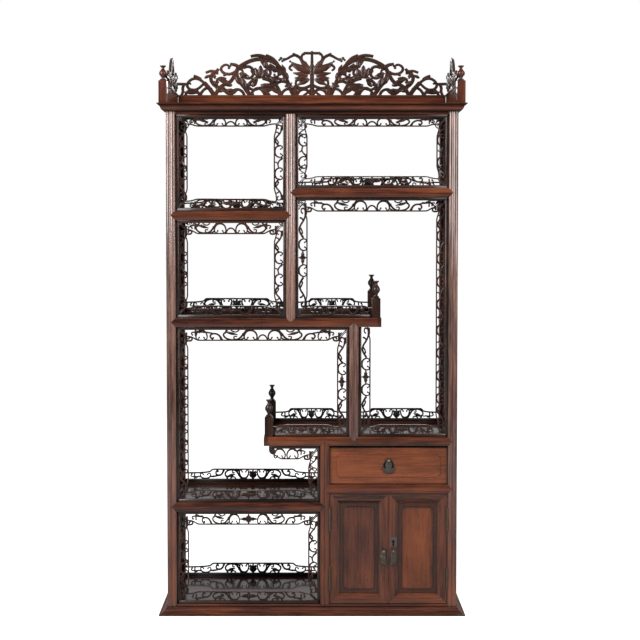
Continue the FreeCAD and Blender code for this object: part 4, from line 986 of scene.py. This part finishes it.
back_y = (low("back_galleries")[1] + high("back_galleries")[1]) / 2
BACK_HALF = 13 * MM
back_left, back_right = low("back_galleries")[0], high("back_galleries")[0]
upper_x, middle_x, lower_x = (sum(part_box(n)[k][0] for k in (0, 1)) / 2 for n in
                              ("upper_divider_posts", "middle_divider_posts",
                               "lower_divider_posts"))
back_bands = [((x0, back_y, z), (x1, back_y, z), UP, NEITHER, "tulip", BACK_WIDE, BACK_RAISE)
              for x0, x1, z in (
    (back_left, upper_x - BACK_HALF, ON["a"]), (upper_x + BACK_HALF, back_right, ON["b"]),
    (back_left, upper_x - BACK_HALF, ON["c"]), (upper_x + BACK_HALF, right_post_x, ON["c"]),
    (middle_x + BACK_HALF, back_right, ON["d"]), (left_post_x, middle_x - BACK_HALF, ON["d"]),
    (back_left, lower_x - BACK_HALF, ON["e"]), (back_left, lower_x - BACK_HALF, FLOOR))]
fret_piece("back_galleries", back_bands, shaded_wood)

# %% [markdown]
# ## Brackets in the upper back corners
# Each corner of the open back has a small carved bracket: two curls that meet in a leaf.

# %% Corner brackets
bracket = sprig("bracket", [
    even([(1.5, 0), (1.5, 33)], 1.5), even([(0, 1.5), (33, 1.5)], 1.5),
    tapered([(33, 2), (31, 12), (22, 15), (16, 10), (20, 5), (25, 8)], 2.2, 1.3),
    tapered([(2, 33), (12, 31), (15, 22), (10, 16), (5, 20), (8, 25)], 2.2, 1.3),
    tapered([(15, 22), (19, 20), (22, 15)], 2.0, 2.0)],
    [(1, 1, 20, 8, 45)], [(24, 8, 2.2), (8, 24, 2.2), (18, 18, 2.4)])
work = bmesh.new()
TOP_BACK = low("top_board")[2]
for x0, x1, z in ((back_left, upper_x - BACK_HALF, TOP_BACK),
                  (upper_x + BACK_HALF, back_right, TOP_BACK),
                  (back_left, upper_x - BACK_HALF, UNDER["a"]),
                  (upper_x + BACK_HALF, back_right, UNDER["b"]),
                  (back_left, middle_x - BACK_HALF, UNDER["c"]),
                  (back_left, lower_x - BACK_HALF, UNDER["e"])):
    for x, way in ((x0, 1), (x1, -1)):
        turn = Matrix(((way, 0, 0), (0, 0, -1), (0, 1, 0))).transposed().to_4x4()
        add_mesh(work, bracket, Matrix.Translation((x, back_y, z)) @ turn @ Matrix.Scale(MM, 4))
put_piece("carved_corner_brackets", finished_mesh(work, "carved_corner_brackets"),
          shaded_wood, replaced=["back_corner_brackets"])

# %% [markdown]
# ## The crest
# The pierced crest is the showpiece. One half of it was drawn as strands, leaves and balls
# from the middle outwards: a palmette under a small crown bar, then a big arch that encloses
# an open flower, then three scrolls that shrink towards the end. The other half mirrors it.

# %% Crest of the back board
CREST_STEMS = [
    ([(0, -2), (0, 40), (0, 80)], 6.0, 6.0),
    ([(0, 26), (9, 13), (20, 6), (30, -2)], 4.0, 3.5),
    ([(3, 36), (20, 27), (38, 25), (52, 31), (58, 43), (53, 57), (43, 55)], 5.0, 3.0),
    ([(56, 34), (62, 18), (58, 4), (50, -2)], 7.0, 6.0),
    ([(-29, 154), (29, 154)], 4.2, 4.2),
    ([(29, 153), (37, 146), (36, 128), (27, 111)], 3.4, 4.2),
    ([(0, 118), (0, 136), (0, 157)], 4.6, 3.4),
    ([(24, 106), (33, 124), (43, 139), (57, 148), (71, 144), (84, 135), (97, 129)], 5.2, 3.6),
    ([(50, 142), (60, 149), (68, 152)], 4.4, 4.0),
    ([(66, 113), (77, 106), (79, 96), (71, 91)], 4.2, 3.0),
    ([(120, 114), (134, 132), (147, 140), (161, 146)], 5.4, 5.0),
    ([(148, 134), (175, 146), (199, 146), (214, 142)], 5.4, 4.6),
    ([(252, 100), (264, 110), (276, 113), (286, 114)], 6.0, 4.4),
    ([(262, 90), (276, 79), (296, 76), (313, 84), (319, 98), (309, 110), (295, 113), (286, 104)],
      5.0, 3.4),
    ([(326, 97), (334, 85), (347, 89), (359, 88), (371, 82)], 4.6, 4.0),
    ([(348, 86), (345, 78), (339, 70)], 3.6, 3.2),
    ([(352, 20), (366, 34), (381, 50), (398, 61), (416, 61), (431, 50), (437, 35), (430, 23),
      (413, 18), (396, 24), (382, 38), (373, 46)], 4.6, 4.0),
    ([(388, 58), (400, 68), (413, 71)], 4.6, 4.0),
    ([(436, 45), (430, 46), (425, 42)], 3.2, 3.0),
    ([(376, 46), (363, 30), (350, 14), (342, -2)], 6.4, 6.4),
    ([(434, 40), (452, 41), (478, 41)], 4.4, 4.4),
    ([(446, 40), (453, 27), (449, 13), (456, -1)], 4.6, 4.2),
    ([(309, 27), (303, 12), (288, 4), (271, 8), (260, 24)], 5.0, 4.4),
    ([(232, 24), (224, 10), (214, -2)], 7.0, 6.0),
    ([(240, 100), (226, 107), (210, 101), (202, 84), (208, 67), (223, 60), (239, 67), (252, 82)],
      4.8, 4.0),
    ([(240, 101), (248, 97), (245, 90)], 3.4, 3.2),
    ([(203, 60), (215, 46), (227, 36), (215, 22), (198, 18), (180, 27)], 4.8, 4.0),
    ([(181, 136), (176, 121), (166, 108), (150, 107), (134, 103), (118, 92), (106, 74)], 3.4, 4.8),
    ([(132, 102), (141, 109), (149, 113)], 4.4, 4.0),
    ([(120, 93), (128, 84), (137, 90), (135, 97)], 3.6, 3.0),
    ([(96, 52), (108, 60), (124, 61), (140, 51)], 4.6, 3.4),
    ([(124, 35), (113, 20), (108, -2)], 5.0, 4.4),
    ([(172, 30), (160, 12), (148, -2)], 6.0, 5.0),
    ([(196, 40), (206, 52), (200, 62)], 5.0, 4.0),
    ([(176, 128), (168, 110), (152, 98), (134, 94), (117, 90), (104, 76)], 4.4, 5.4),
    ([(186, 26), (168, 22), (150, 25), (132, 36), (116, 49), (98, 52), (82, 44)], 5.4, 4.6),
    ([(172, 62), (156, 58), (142, 50), (134, 38)], 5.6, 4.4),
    ([(150, 98), (143, 84), (148, 72), (160, 74), (162, 84)], 4.4, 3.6),
    ([(118, 90), (114, 76), (122, 66), (132, 70), (131, 79)], 4.2, 3.4),
    ([(300, 58), (312, 64), (326, 62), (334, 52), (326, 44)], 4.6, 3.8),
    ([(150, 40), (138, 20), (124, 10), (112, 6)], 4.6, 3.4),
]
CREST_STRANDS = [tapered(*stem) for stem in CREST_STEMS]
# The low arches along the rail, from the middle outwards.
CREST_STRANDS += [even([(u, -2), (u + 4, 13), (u + 25, top), (u + 46, 13), (u + 50, -2)], 4.4)
                  for u, top in ((3, 24), (58, 26), (112, 24), (164, 30), (236, 24), (286, 24),
                                 (340, 30), (392, 22))]
CREST_DOUBLED = [
    ([(64, -2), (76, 24), (86, 50), (99, 80), (114, 105), (132, 121), (156, 130), (184, 133),
      (210, 128), (232, 118), (251, 106), (263, 91), (264, 76), (258, 58), (246, 42), (236, 28),
      (226, 18)], 3.7),
    ([(268, 78), (276, 60), (288, 46), (303, 40), (318, 32), (330, 18), (338, -2)], 3.4),
    ([(306, 28), (324, 27), (340, 35), (350, 48), (354, 62), (350, 75), (341, 83), (326, 82)], 3.2),
]
CREST_LEAVES = [
    (0, 74, 52, 16, 90), (4, 76, 50, 14, 68), (7, 76, 46, 13, 49),
    (10, 80, 74, 20, 33), (12, 72, 54, 16, 10), (14, 62, 46, 12, -8),
    (268, 72, 50, 18, -124), (288, 44, 48, 15, 21), (330, 34, 22, 14, 55),
    (402, 8, 48, 12, 4), (262, 14, 34, 9, 6), (252, 82, 35, 12, -159),
    (178, 62, 46, 22, 88), (180, 60, 44, 20, 64), (176, 60, 44, 20, 118),
    (180, 36, 50, 19, -172), (178, 30, 30, 14, -125), (110, 86, 42, 13, 32), (118, 42, 24, 12, -30),
    (82, 60, 37, 13, 60), (92, 84, 31, 11, 66), (226, 44, 21, 10, -150), (56, 28, 24, 14, -100),
    (96, 30, 31, 12, 150), (240, 112, 24, 10, -60), (310, 70, 20, 10, 140),
    (344, 76, 18, 10, -110), (376, 62, 26, 10, 150), (210, 96, 16, 9, -90),
    (318, 20, 20, 10, -160), (146, 30, 24, 10, -60), (234, 20, 21, 9, 175),
    (22, 92, 48, 21, 20), (14, 66, 46, 15, -4), (8, 60, 50, 16, -28), (6, 88, 66, 16, 52),
    (122, 26, 57, 21, 12), (118, 44, 40, 18, 40), (232, 22, 48, 17, 74), (268, 14, 32, 12, 14),
    (278, 34, 45, 17, 24), (390, 10, 42, 11, 2), (142, 58, 29, 16, 30), (100, 44, 28, 16, 100),
    (56, 12, 31, 14, 150), (210, 30, 32, 13, 130), (312, 12, 28, 14, 30), (348, 10, 28, 13, 60),
    (164, 98, 33, 16, 96), (150, 72, 35, 14, 30), (246, 60, 32, 13, 100), (70, 20, 33, 16, 60),
]
CREST_BALLS = [
    (0, 158, 5), (29, 151, 6), (44, 54, 5), (76, 124, 4.5), (71, 92, 4.4), (97, 131, 6.4),
    (108, 135, 6.2), (103, 125, 5), (114, 129, 4.6), (290, 100, 5.4), (338, 69, 5),
    (425, 42, 4.6), (244, 91, 4.6), (134, 97, 4.6), (0, 80, 10), (138, 49, 5), (112, 6, 5.4),
    (196, 60, 9), (340, 42, 6), (206, 4, 5), (286, 106, 4.6),
]


def doubled(points, radius):
    """Two lines side by side with a groove between them, as on the carver's main stems."""
    lines = ([], [])
    for i, (u, v) in enumerate(points):
        before, after = points[max(i - 1, 0)], points[min(i + 1, len(points) - 1)]
        run = Vector((after[0] - before[0], after[1] - before[1])).normalized() * radius * 0.85
        lines[0].append((u - run.y, v + run.x))
        lines[1].append((u + run.y, v - run.x))
    return [even(line, radius) for line in lines]


for points, radius in CREST_DOUBLED:
    CREST_STRANDS += doubled(points, radius)


def both_halves(strands, leaves, balls):
    """A drawing with its own mirror image about the line where u is zero."""
    strands = strands + [([(-u, v) for u, v in points], radii) for points, radii in strands
                         if min(points)[0] >= 0 and max(points)[0] > 0]
    leaves = leaves + [(-u, v, size, width, 180 - angle) for u, v, size, width, angle in leaves]
    return strands, leaves, balls + [(-u, v, r) for u, v, r in balls if u]


crest_low, crest_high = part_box("crest_back_board")
CREST_RAIL, RAIL_INSET, RAIL_STEP, RAIL_SUNK = 65 * MM, 9 * MM, 1.5 * MM, 2 * MM
STOUT, LONGER = 1.22, 1.05
rail_top = crest_low[2] + CREST_RAIL
depth = (crest_high[1] - crest_low[1]) / MM
strands, leaves, balls = both_halves(CREST_STRANDS, CREST_LEAVES, CREST_BALLS)
strands = [(points, [radius * STOUT for radius in radii]) for points, radii in strands]
leaves = [(u, v, size * LONGER, width * STOUT, angle) for u, v, size, width, angle in leaves]
carving = sprig("crest", strands, leaves, balls, depth, steps=5)
crest_room = (crest_high[2] - rail_top) / MM
crest_reach = max(v.co.y for v in carving.vertices)
print("the crest's drawing is", round(crest_reach), "mm high, its board", round(crest_room))
crest_y = (crest_low[1] + crest_high[1]) / 2
upright = Matrix(((1, 0, 0), (0, 0, 1), (0, 1, 0))).transposed().to_4x4()
work = bmesh.new()
add_mesh(work, carving, Matrix.Translation((0, crest_y, rail_top)) @ upright
         @ Matrix.Diagonal((MM, MM * crest_room / crest_reach, MM, 1)))


def moulded_board(work, corner_low, corner_high, sunk_side):
    """A plain board with a thin raised edge round a sunk field on both of its faces."""
    size = Vector(corner_high) - Vector(corner_low)
    middle = (Vector(corner_high) + Vector(corner_low)) / 2
    corners, _ = block(work, Matrix.Translation(middle) @ Matrix.Diagonal((*size, 1)))
    faces = list(dict.fromkeys(f for v in corners for f in v.link_faces))
    for way in (1, -1):
        face = [f for f in faces if f.is_valid and f.normal.dot(Vector(sunk_side) * way) > 0.9]
        bmesh.ops.inset_region(work, faces=face, thickness=RAIL_INSET, depth=0)
        bmesh.ops.inset_region(work, faces=face, thickness=RAIL_STEP, depth=-RAIL_SUNK)


bmesh.ops.recalc_face_normals(work, faces=work.faces)
moulded_board(work, crest_low, (crest_high[0], crest_high[1], rail_top), (0, 1, 0))


def plain_rail(obj, material):
    """The plain lower rail of a crest board has the finish of the frame."""
    obj.data.materials.append(material)
    for polygon in obj.data.polygons:
        polygon.material_index = int(polygon.center.z < rail_top)


plain_rail(put_piece("carved_crest_back", finished_mesh(work, "carved_crest_back"),
                     carved_wood["x"], replaced=["crest_back_board"]), frame_wood["x"])
print("crest faces:", len(carving.polygons))

# %% [markdown]
# ## Crest side boards
# Each side board rises towards the back in three steps of scrolls, and ends in a tall leaf
# against the back board.

# %% Crest sides
SIDE_STEMS = [
    ([(-147, 22), (-120, 26), (-96, 22), (-84, 34), (-92, 48), (-106, 44)], 5.0, 3.2),
    ([(-96, 4), (-84, 30), (-62, 50), (-40, 46), (-34, 30), (-46, 20), (-58, 26)], 5.0, 3.2),
    ([(-40, 46), (-30, 74), (-12, 96), (8, 102), (20, 90), (14, 76), (2, 78)], 5.2, 3.2),
    ([(-34, 4), (-14, 18), (2, 40), (16, 48), (34, 40), (36, 22), (22, 14), (12, 24)], 5.0, 3.2),
    ([(8, 102), (22, 104), (34, 92), (40, 70), (52, 50), (74, 46)], 5.0, 4.0),
    ([(36, 30), (52, 46), (74, 50), (90, 40), (92, 20), (78, 10), (66, 20)], 5.0, 3.2),
    ([(74, 48), (96, 50), (106, 66), (128, 72), (145, 56)], 5.0, 4.4),
    ([(92, 20), (108, 30), (128, 34), (144, 22)], 4.6, 4.2),
    ([(-146, 4), (-126, 12), (-110, 6)], 4.4, 3.4),
]
SIDE_LEAVES = [
    (-60, 24, 26, 12, 100), (-30, 60, 26, 12, 40), (2, 60, 26, 13, 70), (20, 60, 26, 12, -20),
    (60, 26, 26, 12, 40), (100, 52, 24, 12, 200), (120, 40, 24, 12, 80), (-120, 24, 22, 11, 60),
    (-10, 22, 24, 11, 100), (-76, 20, 20, 10, -40), (110, 18, 20, 10, -30),
]
SIDE_BALLS = [(-106, 44, 4.8), (-58, 26, 4.8), (2, 78, 4.8), (12, 24, 4.8), (66, 20, 4.8),
              (-110, 6, 4.4), (-34, 6, 5)]
side_strands = [tapered(*stem) for stem in SIDE_STEMS]
side_carving = sprig("crest_side", side_strands, SIDE_LEAVES, SIDE_BALLS, depth, steps=5)
for name in ("crest_left_board", "crest_right_board"):
    (x0, y0, z0), (x1, y1, _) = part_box(name)
    along = Matrix(((0, 1, 0), (0, 0, 1), (1, 0, 0))).transposed().to_4x4()
    work = bmesh.new()
    add_mesh(work, side_carving, Matrix.Translation(((x0 + x1) / 2, (y0 + y1) / 2,
                                                     z0 + CREST_RAIL))
             @ along @ Matrix.Scale(MM, 4))
    moulded_board(work, (x0, y0, z0), (x1, y1, z0 + CREST_RAIL), (1, 0, 0))
    plain_rail(put_piece("carved_" + name, finished_mesh(work, name), carved_wood["y"],
                         replaced=[name]), frame_wood["y"])

# %% [markdown]
# ## Turned finials
# The small corner posts are square below and turned above: a neck, a round belly, a second
# neck and a flared top. The profile is drawn once and spun round the middle of each post.

# %% Finials
FINIAL_PROFILE = [(8.6, 0.0), (9.8, 0.03), (9.8, 0.08), (6.0, 0.12), (5.4, 0.18), (7.6, 0.26),
                  (11.6, 0.36), (13.0, 0.46), (12.2, 0.56), (8.6, 0.67), (5.2, 0.77),
                  (4.6, 0.83), (6.0, 0.89), (9.4, 0.94), (9.8, 0.97), (9.4, 1.0), (0.0, 1.0)]
STEP_POST, STEP_TURNED, BACK_RISE = 65 * MM, 55 * MM, 10 * MM
TOP_POST, TOP_TURNED, TOP_EDGE = 73 * MM, 47 * MM, 3 * MM


def turned_post(work, corner, square, turned):
    """A square post from its low corner up, with a finial turned on its top."""
    middle = Vector(corner) + Vector((FINIAL_POST / 2, FINIAL_POST / 2, square / 2))
    _, edges = block(work, Matrix.Translation(middle)
                     @ Matrix.Diagonal((FINIAL_POST, FINIAL_POST, square, 1)))
    chamfer(work, [e for e in edges if all(end.co.z > middle.z for end in e.verts)], TOP_EDGE)
    foot = Vector((middle.x, middle.y, corner[2] + square))
    line = [work.verts.new(foot + Vector((radius * MM, 0, share * turned)))
            for radius, share in FINIAL_PROFILE]
    edges = [work.edges.new(pair) for pair in zip(line, line[1:])]
    bmesh.ops.spin(work, geom=line + edges, cent=foot, axis=(0, 0, 1), dvec=(0, 0, 0),
                   angle=math.tau, steps=20, use_merge=True)
    base = [e for e in work.edges if e.is_boundary]
    bmesh.ops.holes_fill(work, edges=base)


def put_posts(name, posts, node, material):
    work = bmesh.new()
    for corner, square, turned in posts:
        turned_post(work, corner, square, turned)
    bmesh.ops.remove_doubles(work, verts=work.verts, dist=0.01 * MM)
    bmesh.ops.recalc_face_normals(work, faces=work.faces)
    put_piece(name, finished_mesh(work, name), material, replaced=[node])


step_low, step_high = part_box("step_finial_posts")
front_row, back_row = step_low[1], step_high[1] - FINIAL_POST
# The step finials take the same darker wood of painted shade.
put_posts("turned_step_finials", [
    ((x, y, z), STEP_POST + rise, STEP_TURNED)
    for x, z in ((right_post_x, ON["c"]), (left_post_x - FINIAL_POST, ON["d"]))
    for y, rise in ((front_row, 0), (back_row, BACK_RISE))], "step_finial_posts",
    shaded_pierced_wood["z"])
top_low, top_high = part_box("top_finial_posts")
put_posts("turned_top_finials", [
    ((x, top_low[1], top_low[2]), TOP_POST, TOP_TURNED)
    for x in (top_low[0], top_high[0] - FINIAL_POST)], "top_finial_posts", frame_wood["z"])

# %% [markdown]
# ## Bronze fittings
# The drops are flat castings with soft edges: a bell with a crescent round its foot on the
# drawer, before a nearly black iron backing that also paints the shadow round the bell, and a
# leaf with a round boss on each door. A thin plate on the right door frames the keyhole, and a
# nearly black iron lock face behind it paints the shade inside the keyhole. Each is a filled
# outline with a rounded edge.

# %% Fittings
def casting(outlines, thick, smooth, y):
    """A flat casting from closed outlines in (x, z) millimetres. Its front is at y."""
    data = bpy.data.curves.new("casting", "CURVE")
    data.dimensions, data.fill_mode = "2D", "BOTH"
    data.extrude, data.bevel_depth, data.bevel_resolution = thick / 2 - smooth, smooth, 1
    data.offset, data.resolution_u = -smooth, 4
    for outline in outlines:
        line = data.splines.new("NURBS")
        line.points.add(len(outline) - 1)
        for point, (x, z) in zip(line.points, outline):
            point.co = (x, z, 0, 1)
        line.order_u, line.use_cyclic_u = 3, True
    mesh = mesh_of(data)
    mesh.transform(Matrix.Translation((0, (y + thick / 2) * MM, 0))
                   @ Matrix.Rotation(math.radians(90), 4, "X") @ Matrix.Scale(MM, 4))
    return mesh


def both_sides(half):
    """A closed outline from its right half, listed from the top down."""
    return half + [(-x, z) for x, z in reversed(half)]


def fitting(name, node, body, middle_x, pivot_z, parts, bosses, metal=bronze):
    """Joins castings and round bosses at a pivot into the piece for a node.

    The last number of a casting and of a boss is 0 for the metal given, 1 for brass and 2 for
    dark iron.
    """
    work = bmesh.new()
    ends_at = []
    for outlines, thick, smooth, y, kind in parts:
        mesh = casting(outlines, thick, smooth, y)
        add_mesh(work, mesh, Matrix.Translation((middle_x, 0, pivot_z)))
        bpy.data.meshes.remove(mesh)
        ends_at.append((len(work.faces), kind))
    for x, z, radius, y, deep, kind in bosses:
        bmesh.ops.create_uvsphere(work, u_segments=16, v_segments=10, radius=1, matrix=
                                  Matrix.Translation((middle_x + x * MM, y * MM, pivot_z + z * MM))
                                  @ Matrix.Diagonal((radius * MM, deep * MM, radius * MM, 1)))
        ends_at.append((len(work.faces), kind))
    work.faces.ensure_lookup_table()
    first = 0
    for end, kind in ends_at:
        for face in work.faces[first:end]:
            face.material_index = kind
        first = end
    bmesh.ops.remove_doubles(work, verts=work.verts, dist=0.01 * MM)
    bmesh.ops.recalc_face_normals(work, faces=work.faces)
    obj = put_piece(name, finished_mesh(work, name), metal, body, [node] if node else [])
    obj.data.materials.append(brass)
    obj.data.materials.append(dark_iron)


def middle_of(node):
    return (low(node)[0] + high(node)[0]) / 2


PULL_PIVOT, HANDLE_PIVOT, KEY_Z = 504 * MM, 208 * MM, 230.0
bell = both_sides([(1, 3), (4, 1), (6.5, -4), (9.5, -10), (11, -17), (10.5, -25), (7, -31)])
# The backing is dark iron: partly a plate behind the bell, partly the painted shadow round it.
shadow_backing = both_sides([(1, 3.1), (6, 2), (10, -3), (14, -9), (16.5, -16), (16, -22), (13.5, -29),
                      (6, -30)])
crescent = both_sides([(2, -27), (10, -28), (16, -25.5), (20.8, -21), (20.8, -29), (16, -37),
                       (9, -42.5), (2, -43.5)])
pull_front = low("drawer_pull_drop")[1] / MM
fitting("cast_drawer_pull", "drawer_pull_drop", "drawer_pull", middle_of("drawer_pull_drop"),
        PULL_PIVOT, [([bell], 2.6, 0.9, pull_front + 2.3, 0),
                     ([crescent], 3.0, 1.2, pull_front + 2.1, 0),
                     ([shadow_backing], 1.4, 0.4, pull_front + 4.3, 2)],
        [(0, -2, 3.0, pull_front + 1.0, 1.0, 1), (0, -7, 2.4, pull_front + 1.3, 0.8, 2)])
leaf_drop = [(-4, 2), (4, 2), (8, -1), (8.6, -8), (7.4, -16), (7.8, -26), (9.6, -36), (9.8, -46),
             (7.4, -50), (1, -49), (-6.5, -42), (-10.6, -30), (-11, -14), (-9, -4)]
for side_name, way in (("left", 1), ("right", -1)):
    node = side_name + "_handle_drop"
    outline = [(way * x, z) for x, z in leaf_drop]
    face = low(node)[1] / MM
    fitting("cast_" + side_name + "_handle", node, side_name + "_handle", middle_of(node),
            HANDLE_PIVOT, [([outline], 3.0, 1.2, face + 2.6, 0)],
            [(0, -3.6, 6.8, face + 1.9, 1.4, 0), (0, -3.6, 4.4, face + 1.5, 1.2, 2),
             (0, -3.6, 2.7, face + 1.0, 1.0, 1)])
key_x = middle_of("right_handle_drop")
keyhole = both_sides([(2.0, 10.6), (4.8, 8.0), (4.8, 4.6), (2.3, 1.6), (3.2, -9.6), (1.4, -10.2)])
plate = both_sides([(4, 21), (11.4, 21), (12, 10), (11.6, 0), (12, -6), (11.4, -11.5), (4, -11.5)])
face_y = low("right_door_frame")[1] / MM
fitting("key_plate", None, "right_door", key_x, KEY_Z * MM,
        [([plate, keyhole], 0.8, 0.2, face_y - 0.9, 0)], [], plate_bronze)
# An iron lock face behind the keyhole, nearly black: painted shade inside the keyhole.
work = bmesh.new()
behind = casting([both_sides([(6, 12), (6, -10.8)])], 0.3, 0.1, face_y - 0.35)
add_mesh(work, behind, Matrix.Translation((key_x, 0, KEY_Z * MM)))
bpy.data.meshes.remove(behind)
put_piece("shaded_lock_face", finished_mesh(work, "shaded_lock_face"), dark_iron, "right_door")

# %% [markdown]
# ## Light and ground
# A photographer's sweep: a white floor and backdrop that the camera sees as white, with one
# large soft light from the upper left, a wide fill from the right and weaker ones above and
# behind. A reflection sees white only behind the cabinet, so that polished wood stays dark.

# %% Floor, world and lamps
GROUND_GLOW, ROOM, ROOM_SEEN, WALL_SEEN = 0.95, 0.20, 0.04, 0.4


def rays(f):
    """Whether the camera looks, and whether a reflection does. The rest is light."""
    path = f.node("ShaderNodeLightPath")
    return path, Value(f, path.socket.node.outputs["Is Glossy Ray"])


def white_ground():
    """Pale ground, seen white. Reflections see it white only behind the cabinet."""
    f = Finish("white_ground")
    f.shader.inputs["Base Color"].default_value = (0.40, 0.40, 0.40, 1)
    f.shader.inputs["Roughness"].default_value = 0.9
    f.shader.inputs["Emission Strength"].default_value = 1.0
    depth_in_room = f.part(f.node("ShaderNodeTexCoord", output=3), 1)
    camera_ray, glossy_ray = rays(f)
    shown = camera_ray + glossy_ray * f.ramp(depth_in_room, -0.4, 0.4) * WALL_SEEN
    f.put(f.shader.inputs["Emission Color"],
          f.mix(shown, (0.0, 0.0, 0.0), (GROUND_GLOW, GROUND_GLOW, GROUND_GLOW)))
    return f.material


work = bmesh.new()
bmesh.ops.create_grid(work, x_segments=1, y_segments=1, size=30)
floor = bpy.data.objects.new("floor", finished_mesh(work, "floor"))
bpy.context.collection.objects.link(floor)
floor.data.materials.append(white_ground())

studio = Finish("studio", bpy.data.worlds, "Background")
bpy.context.scene.world = studio.material
wall = studio.ramp(studio.part(studio.node("ShaderNodeTexCoord"), 1), -0.25, 0.25)
camera_ray, glossy_ray = rays(studio)
mirrored_room = wall * (WALL_SEEN - ROOM_SEEN) + ROOM_SEEN
studio.put(studio.shader.inputs["Strength"],
           camera_ray + glossy_ray * mirrored_room + (1 - camera_ray - glossy_ray) * ROOM)
studio.shader.inputs["Color"].default_value = (1, 1, 1, 1)


def lamp(name, place, target, width, height, power):
    """A soft box of light that points at a target."""
    data = bpy.data.lights.new(name, "AREA")
    data.shape, data.size, data.size_y, data.energy = "RECTANGLE", width, height, power
    made = bpy.data.objects.new(name, data)
    bpy.context.collection.objects.link(made)
    made.location = place
    made.rotation_euler = (Vector(target) - Vector(place)).to_track_quat("-Z", "Y").to_euler()
    return made


lamp("key", (-2.7, -2.5, 2.5), (0, 0, 1.3), 1.6, 2.6, 205)
lamp("fill", (2.8, -2.6, 2.3), (0, 0, 1.2), 1.4, 2.6, 115)
lamp("top", (0.0, -1.9, 3.3), (0, 0, 1.3), 2.4, 0.8, 85).visible_glossy = False
lamp("back", (0.4, 2.6, 2.6), (0, 0, 1.1), 2.0, 1.0, 30)

# %% Close the scene
bpy.context.scene.view_settings.view_transform = "Standard"
